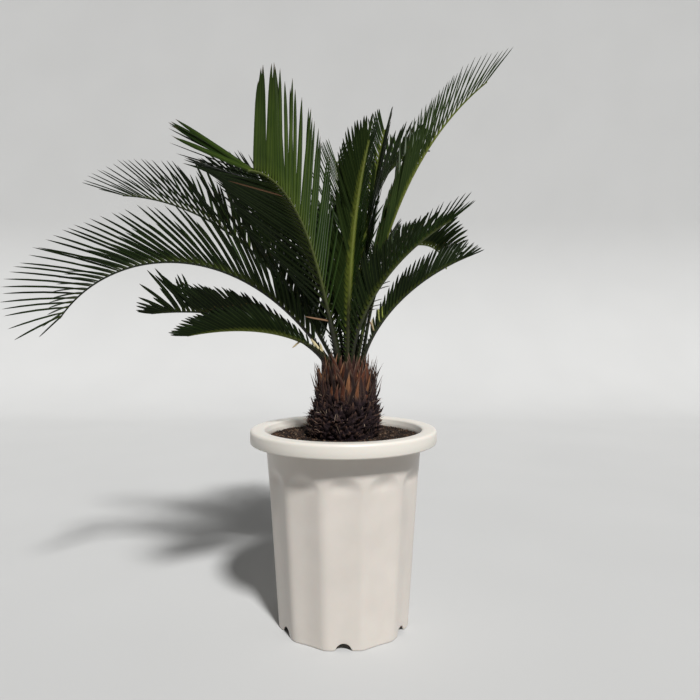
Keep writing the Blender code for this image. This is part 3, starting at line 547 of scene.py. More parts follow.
share = add_node(outgrowth, "ShaderNodeSeparateXYZ", {0: given["shape"]})
bend = add_node(outgrowth, "ShaderNodeMath", {0: share.outputs["X"], 1: parts.outputs["X"]}, operation="MULTIPLY")
bending = add_node(outgrowth, "ShaderNodeVectorMath", {0: given["curl"], 1: given["stray"]}, operation="ADD")
spot = given["root"]
for direction, distance in ((given["aim"], parts.outputs["X"]), (given["across"], parts.outputs["Y"]),
                            (given["face"], parts.outputs["Z"]), (bending, bend)):
    spot = add_node(outgrowth, "ShaderNodeVectorMath", {0: direction, 1: distance, 2: spot}, operation="MULTIPLY_ADD")
laid = add_node(outgrowth, "GeometryNodeSetPosition", {"Geometry": real, "Selection": grown, "Position": spot})
body_dressed = add_node(outgrowth, "GeometryNodeSetMaterial", {"Geometry": laid,
                                                              "Material": entry.outputs["Body Finish"]})
all_dressed = add_node(outgrowth, "GeometryNodeSetMaterial", {"Geometry": body_dressed, "Selection": grown,
                                                             "Material": entry.outputs["Growth Finish"]})
add_node(outgrowth, "NodeGroupOutput", {0: all_dressed})


def tube_faces(count, rings):
    """Faces of a tube of rings with count points each, with a flat one at each end."""
    end = rings * count
    sides = [(low + k, low + count + k, low + count + (k + 1) % count, low + (k + 1) % count)
             for low in range(0, end - count, count) for k in range(count)]
    return [tuple(range(count))] + sides + [tuple(range(end - 1, end - 1 - count, -1))]


def make_template(name, stations, section):
    """A shape to copy: the same small section at each station along it, closed at both ends.

    A station is its place from 0 to 1 along the shape with its share of the full width and thickness.
    """
    vertices = [(along, side * width, lift * thick) for along, width, thick in stations for side, lift in section]
    made = new_piece(name, vertices, tube_faces(len(section), len(stations)))
    keep = made.data.attributes.new("shape", "FLOAT_VECTOR", "POINT")
    keep.data.foreach_set("vector", np.array(vertices, np.float32).ravel())
    return made


def grow(name, body, roots, template, sizes, stray, seed, finishes, sharp, tones=None):
    """A piece made of a body, as vertices, faces and their shape values, and of copies grown from the roots.

    A root is its place, aim, across, face, curl and shares of the length, width and thickness in sizes.
    Stray bends each copy a little at random. The finishes are the body's and the copies'. Each tone is a value
    for the body and a list with one for each root.
    """
    body_vertices, body_faces, body_shape = body
    count = len(body_vertices)
    piece = new_piece(name, list(body_vertices) + [root[0] for root in roots], body_faces)
    table = {"grown": np.array([False] * count + [True] * len(roots))}
    for column, key in enumerate(ROOT_FIELDS):
        table[key] = np.zeros((count + len(roots), 3), np.float32)
        table[key][count:] = [tuple(root[column]) for root in roots]
    table["shape"] = np.zeros((count + len(roots), 3), np.float32)
    if count:
        table["shape"][:count] = body_shape
    for key, (body_tone, root_tones) in (tones or {}).items():
        table[key] = np.array([body_tone] * count + list(root_tones), np.float32)
    for key, values in table.items():
        kind = "BOOLEAN" if key == "grown" else "FLOAT_VECTOR" if values.ndim == 2 else "FLOAT"
        attribute = piece.data.attributes.new(key, kind, "POINT")
        attribute.data.foreach_set("vector" if values.ndim == 2 else "value", values.ravel())
    grown_mesh(piece, outgrowth, dict(zip(outgrowth_inputs, (template, *sizes, stray, seed, *finishes))))
    for key in ("grown", "stray") + ROOT_FIELDS:
        found = piece.data.attributes.get(key)
        if found:
            piece.data.attributes.remove(found)
    piece.data.shade_smooth()
    piece.data.set_sharp_from_angle(angle=math.radians(sharp))
    return piece


def shape_nodes(tree):
    """Nodes that give a copy's own coordinates, whole and split into along, across and through."""
    whole = add_node(tree, "ShaderNodeAttribute", attribute_name="shape")
    return whole, add_node(tree, "ShaderNodeSeparateXYZ", {0: whole.outputs["Vector"]})


# Old leaf bases: dead woody tissue, weathered nearly black with a purple cast, mottled in patches about 2.5 mm
# wide and browner at the tips
bark_finish, tree, shader = new_finish("leaf_base_bark", {"Roughness": 0.9, "Specular IOR Level": 0.3})
place = add_node(tree, "ShaderNodeTexCoord")
_, shape_parts = shape_nodes(tree)
own_tint = add_node(tree, "ShaderNodeAttribute", attribute_name="tint")
mottle = add_node(tree, "ShaderNodeTexNoise", {"Vector": place.outputs["Object"], "Scale": 1 / 0.0025, "Detail": 5.0,
                                               "Roughness": 0.7})
dark = set_stops(add_node(tree, "ShaderNodeValToRGB", {"Fac": mottle}),
                 ((0.30, "#0B0507"), (0.52, "#1E1116"), (0.66, "#332123"), (0.80, "#503A34")))
tip_share = add_node(tree, "ShaderNodeMapRange", {"Value": shape_parts.outputs["X"], "From Min": 0.55,
                                                  "From Max": 1.0, "To Min": 0.0, "To Max": 0.55})
tip_tint = add_node(tree, "ShaderNodeMath", {0: tip_share, 1: own_tint.outputs["Fac"]}, operation="MULTIPLY")
bark_colour = add_node(tree, "ShaderNodeMix", {0: tip_tint, 6: dark, 7: linear("#7A5A46")}, data_type="RGBA")
relief = add_node(tree, "ShaderNodeBump", {"Height": mottle, "Strength": 0.7, "Distance": 0.0012})
feed(shader, {"Base Color": bark_colour.outputs[2], "Normal": relief})

# The core under the leaf bases, its top edge drawn in a little
TOP_EDGE = 0.0015
trunk_angles = round_angles(TRUNK_COLUMNS)
trunk_rings = [ring_points(trunk_angles, buried_radius(z), z, trunk_centre(z))
               for z in (HOLE_BOTTOM + SEAT_GAP, 0.215, 0.236, 0.255, SOIL_TOP - 0.012)]
trunk_rings += [ring_points(trunk_angles, trunk_radius(z) - TOP_EDGE * (z > TRUNK_TOP - 0.002), z, trunk_centre(z))
                for z in np.linspace(SOIL_TOP - 0.002, TRUNK_TOP, 24)]
trunk_body = closed_rings(trunk_rings, (0, 0, HOLE_BOTTOM + SEAT_GAP), (CROWN_CENTRE, 0, TRUNK_TOP))
stub_shape = make_template("stub_shape", ((0.0, 1.0, 1.0), (0.35, 0.92, 0.90), (0.62, 0.62, 0.62),
                                          (0.84, 0.28, 0.34), (1.0, 0.05, 0.06)),
                           ((-1.0, 0.0), (-0.45, 0.75), (0.0, 1.0), (0.45, 0.75), (1.0, 0.0), (0.4, -0.8),
                            (-0.4, -0.8)))

# Each stub is sunk a little in the core. Some of the upper ones are longer and hooked upward.
BASE_SEAT = 0.003
HOOKED_SHARE = 0.3
HOOK = 0.6
draw_base = random.Random(3)
base_roots = []
for k in range(LEAF_BASES):
    share = (k + 0.5) / LEAF_BASES
    z = SOIL_TOP - 0.001 + share * (TRUNK_TOP - SOIL_TOP + 0.001)
    z += max(0.0, share - 0.75) * draw_base.uniform(-0.02, 0.05)
    angle = k * GOLDEN_ANGLE
    lean = math.radians(draw_base.uniform(8, 52))
    outward, side, upward = leaning_axes(angle + draw_base.uniform(-0.12, 0.12), lean)
    root = around(angle, trunk_radius(z) - BASE_SEAT, z)
    hooked = share > 0.5 and draw_base.random() < HOOKED_SHARE
    reach = draw_base.uniform(1.1, 1.5) if hooked else draw_base.uniform(0.62, 1.0)
    curl = upward * draw_base.uniform(0.0, 0.55) + side * draw_base.uniform(-0.3, 0.3)
    if hooked:
        curl += upward * HOOK
    base_roots.append((root, outward, side, upward, curl,
                       (reach, draw_base.uniform(0.7, 1.0), draw_base.uniform(0.7, 1.0))))
leaf_bases = grow("trunk_leaf_bases", (*trunk_body, np.zeros((len(trunk_body[0]), 3))), base_roots, stub_shape,
                  LEAF_BASE_SIZE, 0.12, 3, (bark_finish, bark_finish), 35)
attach(leaf_bases, "root")
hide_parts("trunk")

# Fibres: stiff dry threads and slivers of leaf base, grey-brown, a few of them bleached
fibre_finish, tree, shader = new_finish("dry_fibre", {"Roughness": 0.8, "Specular IOR Level": 0.35})
own_tint = add_node(tree, "ShaderNodeAttribute", attribute_name="tint")
tone = set_stops(add_node(tree, "ShaderNodeValToRGB", {"Fac": own_tint.outputs["Fac"]}),
                 ((0.0, "#120A0C"), (0.50, "#2A1B1B"), (0.78, "#523D32"), (0.93, "#8A7362"), (1.0, "#B5A28C")))
feed(shader, {"Base Color": tone})
thread_shape = make_template("thread_shape", ((0.0, 1.0, 1.0), (0.4, 0.8, 0.8), (0.75, 0.5, 0.5), (1.0, 0.08, 0.08)),
                             ((-1.0, -0.5), (0.0, 1.0), (1.0, -0.5)))
draw_fibre = random.Random(21)
fibre_roots = []
for k in range(FIBRES):
    z = draw_fibre.uniform(SOIL_TOP + 0.001, TRUNK_TOP + 0.006)
    angle = draw_fibre.uniform(0, 2 * math.pi)
    outward, side, upward = leaning_axes(angle + draw_fibre.uniform(-0.5, 0.5),
                                         math.radians(draw_fibre.uniform(25, 85)))
    root = around(angle, trunk_radius(min(z, TRUNK_TOP)) + draw_fibre.uniform(-0.002, 0.003), z)
    curl = upward * draw_fibre.uniform(-0.5, 0.3) + side * draw_fibre.uniform(-0.4, 0.4)
    fibre_roots.append((root, outward, side, upward, curl,
                        (draw_fibre.uniform(0.35, 1.0), draw_fibre.uniform(0.5, 1.0), 1.0)))
fibres = grow("trunk_fibres", ([], [], None), fibre_roots, thread_shape, FIBRE_SIZE, 0.2, 21,
              (fibre_finish, fibre_finish), 60)
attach(fibres, "root")


# Crown of scale leaves
# Between flushes of fronds the palm grows dry scale leaves: stiff narrow spikes of red-brown tissue, which stand
# round the frond stalks in many rows, overlap like tiles and end in sharp bleached tips.

COLLAR_TOP = 0.386
SCALES = 230
SCALE_SIZE = (0.054, 0.0046, 0.0011)
# The rows start below the trunk's top and climb inward as they rise
SCALE_ROWS_FOOT = 0.018
SCALE_ROWS_RISE = 0.052
SCALE_ROWS_RADIUS = 0.0425
SCALE_ROWS_TAPER = 0.0145

# Scale leaf: dry, fibrous along its length, dark at the root, red-brown in the middle, with a bleached pale tip and
# pale edges that are a painted highlight
scale_finish, tree, shader = new_finish("dry_scale_leaf", {"Roughness": 0.72, "Specular IOR Level": 0.35})
own_shape, shape_parts = shape_nodes(tree)
own_tint = add_node(tree, "ShaderNodeAttribute", attribute_name="tint")
tone = set_stops(add_node(tree, "ShaderNodeValToRGB", {"Fac": own_tint.outputs["Fac"]}),
                 ((0.0, "#160A09"), (0.30, "#28120D"), (0.60, "#482414"), (0.85, "#68371E"), (1.0, "#9A6A44")))
stretch = add_node(tree, "ShaderNodeVectorMath", {0: own_shape.outputs["Vector"], 1: (3.0, 9.0, 3.0)},
                   operation="MULTIPLY")
shift = add_node(tree, "ShaderNodeCombineXYZ", {"Z": own_tint.outputs["Fac"]})
own_place = add_node(tree, "ShaderNodeVectorMath", {0: shift, 1: (0.0, 0.0, 40.0), 2: stretch},
                     operation="MULTIPLY_ADD")
streak = add_node(tree, "ShaderNodeTexNoise", {"Vector": own_place, "Scale": 1.0, "Detail": 3.0})
streaked = lay_over(tree, tone, streak, (0.35, 0.7), 0.7, "#2A1510")
# Painted highlight: the edges are made paler; the paler tip is bleached tissue
edge = add_node(tree, "ShaderNodeMath", {0: shape_parts.outputs["Y"]}, operation="ABSOLUTE")
edge_highlight_share = add_node(tree, "ShaderNodeMapRange", {"Value": edge, "From Min": 0.45, "From Max": 1.0, "To Min": 0.0,
                                                   "To Max": 0.55})
tip_share = add_node(tree, "ShaderNodeMapRange", {"Value": shape_parts.outputs["X"], "From Min": 0.70,
                                                  "From Max": 1.0, "To Min": 0.0, "To Max": 0.6})
highlight_and_bleach_share = add_node(tree, "ShaderNodeMath", {0: edge_highlight_share, 1: tip_share}, operation="MAXIMUM")
highlit_and_bleached = add_node(tree, "ShaderNodeMix", {0: highlight_and_bleach_share, 6: streaked, 7: linear("#7C6450")}, data_type="RGBA")
rooted = lay_over(tree, highlit_and_bleached.outputs[2], shape_parts.outputs["X"], (0.35, 0.05), 0.8, "#1C0E0D")
relief = add_node(tree, "ShaderNodeBump", {"Height": streak, "Strength": 0.5, "Distance": 0.0006})
feed(shader, {"Base Color": rooted, "Normal": relief})

# The core that the scale leaves and the frond stalks stand on
collar_rings = [ring_points(trunk_angles, radius, z, CROWN_CENTRE) for z, radius in (
    (TRUNK_TOP + SEAT_GAP, 0.0345), (TRUNK_TOP + 0.004, 0.0375), (TRUNK_TOP + 0.016, 0.0360), (0.374, 0.0335),
    (0.381, 0.0290), (0.384, 0.0200))]
collar_body = closed_rings(collar_rings, (CROWN_CENTRE, 0, TRUNK_TOP + SEAT_GAP), (CROWN_CENTRE, 0, 0.3845))
scale_shape = make_template("scale_shape", ((0.0, 0.75, 1.0), (0.12, 1.0, 1.0), (0.32, 0.92, 0.8), (0.55, 0.66, 0.6),
                                            (0.78, 0.34, 0.4), (1.0, 0.04, 0.06)),
                            ((-1.0, -0.7), (-0.5, 0.55), (0.0, 1.0), (0.5, 0.55), (1.0, -0.7), (0.0, -0.45)))
draw_scale = random.Random(7)
scale_roots = []
for k in range(SCALES):
    share = (k + 0.5) / SCALES
    z = TRUNK_TOP - SCALE_ROWS_FOOT + SCALE_ROWS_RISE * share + draw_scale.uniform(-0.004, 0.004) * (1.0 - share)
    angle = k * GOLDEN_ANGLE
    radius = SCALE_ROWS_RADIUS - SCALE_ROWS_TAPER * max(0.0, share - 0.25) ** 1.2 - 0.002 * draw_scale.random()
    axis, side, inward = leaning_axes(angle + draw_scale.uniform(-0.25, 0.25),
                                      math.radians(draw_scale.uniform(68, 92)))
    root = Vector((CROWN_CENTRE + radius * math.cos(angle), radius * math.sin(angle), z))
    reach = draw_scale.uniform(0.60, 1.0) * (1.0 - 0.35 * share)
    curl = inward * draw_scale.uniform(-0.12, 0.30) + side * draw_scale.uniform(-0.22, 0.22)
    scale_roots.append((root, axis, side, -inward, curl,
                        (reach, draw_scale.uniform(0.7, 1.0), draw_scale.uniform(0.8, 1.0))))
crown_scales = grow("crown_scale_leaves", (*collar_body, np.zeros((len(collar_body[0]), 3))), scale_roots,
                    scale_shape, SCALE_SIZE, 0.04, 7, (bark_finish, scale_finish), 40)
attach(crown_scales, "root")
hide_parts("scale_collar")


# Fronds
# Each frond is one stiff feather-shaped leaf: a stalk that goes over into an arching rib, with two ranks of
# narrow leathery leaflets about 10 mm apart, which rise from it in a shallow V and end in sharp points.

# The stalk stands this deep in the crown, and is straight for so much above it
SOCKET_DEPTH = 0.012
SOCKET_RISE = 0.008
PETIOLE_WIDTH = 0.0066
RIB_TIP_WIDTH = 0.0022
BARE_PETIOLE = 0.050
BARE_TIP = 0.006
# The pitch of the leaflets on the longest frond, and the share of it by which the left rank starts further out
LEAFLET_PITCH = 0.0098
LONGEST_FROND = 0.505
RANK_SHIFT = 0.35
# A leaflet's seat, as shares of the rib's width to the side and up, and its turn about its own length, like the
# slats of a blind
SEAT_ASIDE = 0.36
SEAT_UP = 0.05
LOUVRE = math.radians(20.0)
LEAFLET_THICKNESS = 0.0009
# A leaflet bends at this share of its length, and beyond it keeps this share of its angle to the rib
LEAFLET_BEND = 0.45
LEAFLET_CURL = 0.80
RIB_STATIONS = 72

# Angles are in degrees and lengths in metres. azimuth 0 is +X and 90 is the back; rise is the slope at the crown
# and droop what it loses to the tip; power is 1 for an even arch and more for one that bends late; swing turns the
# frond sideways to its tip; roll turns its two ranks about the rib; leaflet is the longest leaflet, breadth its full
# width and vee the slope of the two ranks; seat and seat_angle place the stalk on the crown. green runs from 0,
# nearly black, to 1, fresh mid green, and rib from 0, dark green, over 0.6, yellow-green, to 1, brown.
FROND_FIELDS = ("azimuth", "rise", "droop", "power", "length", "swing", "roll", "leaflet", "vee", "seat",
                "seat_angle", "breadth", "green", "rib")
FRONDS = {
    "frond_01": (181, 55, 112, 1.40, 0.495, 0, 0, 0.138, 43, 0.019, 185, 0.0050, 0.14, 0.20),
    "frond_02": (163, 61, 56, 1.25, 0.495, 0, 0, 0.135, 46, 0.018, 145, 0.0073, 0.12, 0.25),
    "frond_03": (-120, 68, 84, 3.00, 0.350, 0, -65, 0.170, 30, 0.018, -120, 0.0062, 0.70, 0.45),
    "frond_04": (155, 77, 62, 1.60, 0.400, 0, 0, 0.120, 30, 0.007, 150, 0.0066, 0.20, 0.95),
    "frond_05": (-62, 87, 26, 2.00, 0.330, 0, 0, 0.105, 40, 0.0062, -78, 0.0060, 0.34, 0.62),
    "frond_06": (55, 81, 14, 1.50, 0.400, 0, 0, 0.100, 45, 0.013, 50, 0.0060, 0.24, 0.50),
    "frond_07": (58, 82, 76, 3.20, 0.420, -42, 0, 0.100, 45, 0.020, 75, 0.0058, 0.44, 0.30),
    "frond_08": (12, 79, 40, 1.70, 0.505, 0, 0, 0.120, 50, 0.015, 12, 0.0058, 0.50, 0.62),
    "frond_09": (-35, 88, 64, 0.70, 0.272, 0, 0, 0.080, 45, 0.010, -28, 0.0062, 0.20, 0.40),
    "frond_10": (20, 80, 172, 3.00, 0.300, 0, 0, 0.075, 45, 0.025, 25, 0.0060, 0.26, 0.55),
    "frond_11": (-8, 78, 57, 0.70, 0.240, 0, 0, 0.066, 50, 0.023, -8, 0.0052, 0.16, 0.30),
    "frond_12": (-155, 68, 80, 0.40, 0.230, 0, 0, 0.068, 45, 0.025, -155, 0.0058, 0.22, 0.60),
    "frond_13": (174, 62, 68, 0.45, 0.302, 0, 0, 0.074, 50, 0.029, 170, 0.0058, 0.06, 0.15),
    "frond_14": (78, 66, 75, 1.20, 0.420, 0, 0, 0.110, 45, 0.028, 60, 0.0058, 0.30, 0.35),
    "frond_15": (102, 58, 85, 1.20, 0.440, 0, 0, 0.120, 45, 0.028, 95, 0.0058, 0.28, 0.35),
    "frond_16": (118, 72, 90, 1.50, 0.410, 0, 0, 0.120, 45, 0.026, 122, 0.0058, 0.26, 0.30),
    "frond_17": (97, 80, 25, 1.50, 0.370, 0, 0, 0.110, 45, 0.010, 90, 0.0060, 0.40, 0.35),
}

# How the leaflets stand, for places from 0 at the stalk to 1 at the tip: the angle between leaflet and rib and the
# share of the longest leaflet. Where a frond's own plan differs, it also gives the vee, and its second row of
# plans is for its left rank. The third frond holds an upright fan to its right and ends in a tuft.
USUAL_PLAN = ((0.0, 52, 0.30), (0.29, 47, 1.0), (0.55, 43, 1.0), (0.80, 38, 0.76), (1.0, 26, 0.45))
OWN_PLANS = {
    "frond_01": (((0.0, 52, 43, 0.30), (0.29, 48, 43, 0.95), (0.60, 46, 42, 0.90), (0.85, 58, 38, 0.85),
                  (0.96, 62, 34, 0.72), (1.0, 42, 32, 0.55)),),
    "frond_02": (((0.0, 52, 46, 0.30), (0.29, 48, 46, 0.95), (0.60, 44, 46, 0.88), (0.80, 38, 44, 0.80),
                  (1.0, 20, 36, 0.58)),),
    "frond_03": (((0.0, 38, 40, 0.36), (0.29, 40, 45, 0.95), (0.60, 38, 45, 0.86), (0.82, 34, 45, 0.72),
                  (0.90, 36, 90, 0.74), (1.0, 40, 120, 0.60)),
                 ((0.0, 34, 30, 0.30), (0.29, 46, 30, 0.95), (0.51, 52, 30, 1.0), (0.77, 66, 28, 0.92),
                  (0.94, 80, 14, 0.68), (0.972, 88, 10, 0.54), (0.973, 40, 60, 0.62), (1.0, 28, 64, 0.60))),
    "frond_05": (((0.0, 34, 40, 0.30), (0.29, 30, 40, 1.0), (0.80, 26, 40, 0.75), (1.0, 12, 30, 0.40)),),
    "frond_07": (((0.0, 52, 45, 0.30), (0.29, 47, 45, 1.0), (0.55, 43, 45, 1.0), (0.80, 50, 45, 0.80),
                  (0.93, 66, 45, 0.55), (1.0, 90, 45, 0.30)),),
    "frond_08": (((0.0, 28, 50, 0.30), (0.20, 22, 50, 0.62), (0.45, 26, 50, 0.90), (0.80, 31, 50, 0.80),
                  (1.0, 20, 44, 0.62)),),
    "frond_09": (((0.0, 48, 45, 0.30), (0.29, 45, 45, 0.95), (0.50, 42, 45, 0.66), (0.75, 40, 45, 0.60),
                  (1.0, 24, 40, 0.70)),
                 ((0.0, 48, 45, 0.30), (0.29, 45, 45, 1.0), (0.50, 42, 45, 0.90), (0.75, 40, 45, 0.80),
                  (1.0, 24, 40, 0.60))),
    "frond_10": (((0.0, 52, 45, 0.30), (0.29, 50, 45, 0.90), (0.55, 52, 45, 0.80), (0.75, 76, 45, 0.92),
                  (0.90, 104, 45, 0.80), (1.0, 120, 45, 0.50)),),
    "frond_11": (((0.0, 48, 50, 0.30), (0.29, 45, 50, 0.80), (0.70, 45, 50, 0.85), (0.85, 38, 50, 0.72),
                  (1.0, 8, 30, 0.42)),),
    "frond_13": (((0.0, 45, 50, 0.30), (0.29, 45, 50, 1.0), (0.60, 50, 50, 1.0), (0.70, 56, 50, 1.0),
                  (0.76, 76, 50, 1.15), (0.83, 74, 50, 1.15), (0.86, 46, 50, 0.8), (1.0, 18, 40, 0.36)),),
}

# What else sets single fronds apart: how straight the leaflets are, the power by which they crowd towards the tip
# below 1 or the stalk above 1, the share of their width that they lose towards the tip, the stoutness of the rib
# and how pale the leaflets' roots are
STRAIGHT_LEAVED = {"frond_03": 0.97}
USUAL_CROWDING = 0.94
CROWDED_TIPS = {"frond_02": 1.15, "frond_03": 0.66, "frond_08": 1.2, "frond_10": 0.62}
SLENDER_TIPS = {"frond_01": 0.40, "frond_02": 0.70, "frond_04": 0.20, "frond_08": 0.71, "frond_09": 0.62,
                "frond_11": 0.35}
STOUT_RIBS = {"frond_05": 1.40, "frond_06": 1.15, "frond_08": 1.1}
PALE_ROOTS = {"frond_03": 0.25, "frond_05": 1.7}

# Ranks, 1 on the right and -1 on the left, with greens of their own. The third frond's right rank is darkened up to
# the tuft by painted shade, and its left rank, the fan, is bright. Both are turned flat to the front, from the place
# that is given.
TUFT_START = 0.93
RANK_GREENS_AND_SHADE = {("frond_03", 1): ((0.0, 0.10), (0.85, 0.16), (0.93, 0.40), (1.0, 0.40)),
               ("frond_05", 1): ((0.0, 0.48), (1.0, 0.48)),
               ("frond_03", -1): ((0.0, 0.24), (0.35, 0.38), (0.60, 0.58), (0.96, 0.62), (0.97, 0.54), (1.0, 0.54))}
RANK_FACINGS = {("frond_03", 1): (TUFT_START, (0.15, -0.90, 0.40)), ("frond_03", -1): (0.0, (0.45, -0.85, 0.25))}
# Shares of the breadth in the tuft and at the foot of the fan, and what the fan gains up to its tip
TUFT_BREADTH = 1.12
FAN_BREADTH = 0.50
FAN_GAIN = 0.55


def frond_path(values, stations, steps=240):
    """Points, directions, right sides and up sides of a frond's rib at the given distances along it."""
    length = values["length"]
    at = np.linspace(-SOCKET_DEPTH, length, steps)
    share = np.clip((at - SOCKET_RISE) / (length - SOCKET_RISE), 0.0, 1.0)
    slope = np.radians(values["rise"] - values["droop"] * share ** values["power"])
    heading = math.radians(values["azimuth"]) + math.radians(values["swing"]) * share ** 1.5
    level = np.cos(slope)
    direction = np.stack([level * np.cos(heading), level * np.sin(heading), np.sin(slope)], axis=1)
    seat_angle = math.radians(values["seat_angle"])
    root = np.array([CROWN_CENTRE + values["seat"] * math.cos(seat_angle),
                     values["seat"] * math.sin(seat_angle), COLLAR_TOP])
    strides = direction[:-1] * np.diff(at)[:, None]
    points = root - direction[0] * SOCKET_DEPTH + np.vstack([np.zeros(3), np.cumsum(strides, axis=0)])
    right = np.stack([np.sin(heading), -np.cos(heading), np.zeros(steps)], axis=1)
    up = np.cross(right, direction)
    roll = np.radians(values["roll"]) * np.clip(share * 3.0, 0.0, 1.0)[:, None]
    rolled_right = right * np.cos(roll) + up * np.sin(roll)
    rolled_up = up * np.cos(roll) - right * np.sin(roll)
    return [np.stack([np.interp(stations, at, table[:, axis]) for axis in range(3)], axis=1)
            for table in (points, direction, rolled_right, rolled_up)]


def rib_width(share):
    return PETIOLE_WIDTH + (RIB_TIP_WIDTH - PETIOLE_WIDTH) * np.clip(share, 0.0, 1.0) ** 0.8


def leaflet_plan(name, hand, place):
    """Angle to the rib, vee and share of the longest leaflet for a place on the right, 1, or left rank, -1."""
    plans = OWN_PLANS.get(name)
    if plans:
        rows = plans[0] if hand == 1 else plans[-1]
        return [float(np.interp(place, [row[0] for row in rows], [row[k] for row in rows])) for k in (1, 2, 3)]
    at, angles, shares = zip(*USUAL_PLAN)
    return [float(np.interp(place, at, angles)), values_of[name]["vee"], float(np.interp(place, at, shares))]


def leaflet_line(root, along, side, up, length, forward, vee, curl):
    """Root, bend and tip of a leaflet that leaves the rib at the angles forward and vee, in radians."""
    spread = side * math.cos(vee) + up * math.sin(vee)
    first = along * math.cos(forward) + spread * math.sin(forward)
    later = along * math.cos(forward * curl) + spread * math.sin(forward * curl)
    bend_point = root + first * length * LEAFLET_BEND
    return np.array([root, bend_point, bend_point + later * length * (1.0 - LEAFLET_BEND)])


def stretches(line):
    """The start and end of each stretch of a line of points."""
    return np.stack([line[:-1], line[1:]], axis=1)


def square_to(aim, direction):
    """The part of a direction that is square to the aim, one unit long."""
    square = direction - aim * aim.dot(direction)
    return square / np.linalg.norm(square)


def blade_sides(aim, along, up):
    """The across and face directions of a leaflet that lies flat along its rib and faces up."""
    across = square_to(aim, along)
    face = np.cross(aim, across)
    return (-across, -face) if face.dot(up) < 0 else (across, face)


def room_round(line, placed, first_share):
    """Smallest distance between a leaflet, from a share of its length outward, and the placed stretches."""
    if not len(placed):
        return 1.0
    reach = np.interp(np.linspace(first_share, 1.0, 12), [0.0, LEAFLET_BEND, 1.0], [0, 1, 2])
    points = np.stack([np.interp(reach, [0, 1, 2], line[:, axis]) for axis in range(3)], axis=1)
    middle = placed.mean(axis=1)
    half = np.linalg.norm(placed[:, 1] - placed[:, 0], axis=1) / 2
    own_middle = points[6]
    own_half = np.linalg.norm(points[-1] - points[0]) / 2
    close = placed[np.linalg.norm(middle - own_middle, axis=1) < half + own_half + 0.008]
    if not len(close):
        return 1.0
    starts = close[:, 0]
    span = close[:, 1] - starts
    offset = points[:, None, :] - starts[None, :, :]
    along = np.clip((offset * span).sum(axis=2) / (span * span).sum(axis=1), 0.0, 1.0)
    nearest = offset - along[..., None] * span
    return math.sqrt((nearest * nearest).sum(axis=2).min())


# Turns about the rib, turns towards the tip and shares of the length that are tried where leaflets would meet.
# They keep these distances from other fronds and from their own where they can, and a trial is taken only where it
# is better by this much.
TRIALS = ((0, 0, 1.0), (7, 0, 1.0), (-7, 0, 1.0), (0, -7, 1.0), (14, 0, 1.0), (-14, 0, 1.0), (8, -9, 1.0),
          (-8, -9, 1.0), (22, 0, 0.95), (-22, 0, 0.95), (0, 7, 0.8), (12, -8, 0.75), (-12, -8, 0.75))
FROND_ROOM = 0.0042
RANK_ROOM = 0.0020
BETTER_BY = 0.05
STEEPEST_VEE = 64

leaflet_shape = make_template(
    "leaflet_shape", ((0.0, 0.50, 1.3), (0.05, 0.80, 1.2), (0.20, 1.0, 1.0), (0.50, 1.0, 1.0), (0.74, 0.90, 0.9),
                      (0.87, 0.66, 0.7), (0.95, 0.34, 0.45), (1.0, 0.03, 0.08)),
    ((-1.0, -0.9), (-0.55, 0.35), (0.0, 0.10), (0.55, 0.35), (1.0, -0.9), (0.0, -1.0)))
rib_outline = ((-0.50, 0.24), (-0.30, 0.34), (0.0, 0.27), (0.30, 0.34), (0.50, 0.24), (0.46, -0.08), (0.26, -0.42),
               (0.0, -0.54), (-0.26, -0.42), (-0.46, -0.08))

# Leaflet: a thick waxy cuticle over leathery tissue. Dark with a low gloss above, paler and duller below, with a
# pale thread of a midrib, fine lines along it, an outer part darkened by painted shade and a dry brown point. The
# line spacing is drawn wide enough to show.
leaf_finish, tree, shader = new_finish("sago_leaflet", {"IOR": 1.45, "Specular IOR Level": 0.13})
own_shape, shape_parts = shape_nodes(tree)
own_tint = add_node(tree, "ShaderNodeAttribute", attribute_name="tint")
own_green = add_node(tree, "ShaderNodeAttribute", attribute_name="green")
place = add_node(tree, "ShaderNodeTexCoord")
patch = add_node(tree, "ShaderNodeTexNoise", {"Vector": place.outputs["Object"], "Scale": 1 / 0.035, "Detail": 2.0})
drift = add_node(tree, "ShaderNodeMath", {0: patch, 1: 0.24, 2: own_green.outputs["Fac"]}, operation="MULTIPLY_ADD")
spread_green = add_node(tree, "ShaderNodeMath", {0: own_tint.outputs["Fac"], 1: 0.14, 2: drift},
                        operation="MULTIPLY_ADD")
tone = set_stops(add_node(tree, "ShaderNodeValToRGB", {"Fac": spread_green}),
                 ((0.10, "#050B03"), (0.30, "#0C1A06"), (0.55, "#1A2C0B"), (0.80, "#2B3B12"), (1.0, "#445320")))
below = lay_over(tree, tone, shape_parts.outputs["Z"], (-0.2, -0.6), 0.30, "#242E17")
edge = add_node(tree, "ShaderNodeMath", {0: shape_parts.outputs["Y"]}, operation="ABSOLUTE")
veined = lay_over(tree, below, edge, (0.22, 0.04), 0.35, "#4C5A28")
root_share = add_node(tree, "ShaderNodeMapRange", {"Value": shape_parts.outputs["X"], "From Min": 0.16,
                                                   "From Max": 0.0, "To Min": 0.0, "To Max": 1.5})
own_rib = add_node(tree, "ShaderNodeAttribute", attribute_name="rib")
pale_root = add_node(tree, "ShaderNodeMath", {0: root_share, 1: own_rib.outputs["Fac"]}, operation="MULTIPLY",
                     use_clamp=True)
rooted = add_node(tree, "ShaderNodeMix", {0: pale_root, 6: veined, 7: linear("#626C2A")}, data_type="RGBA")
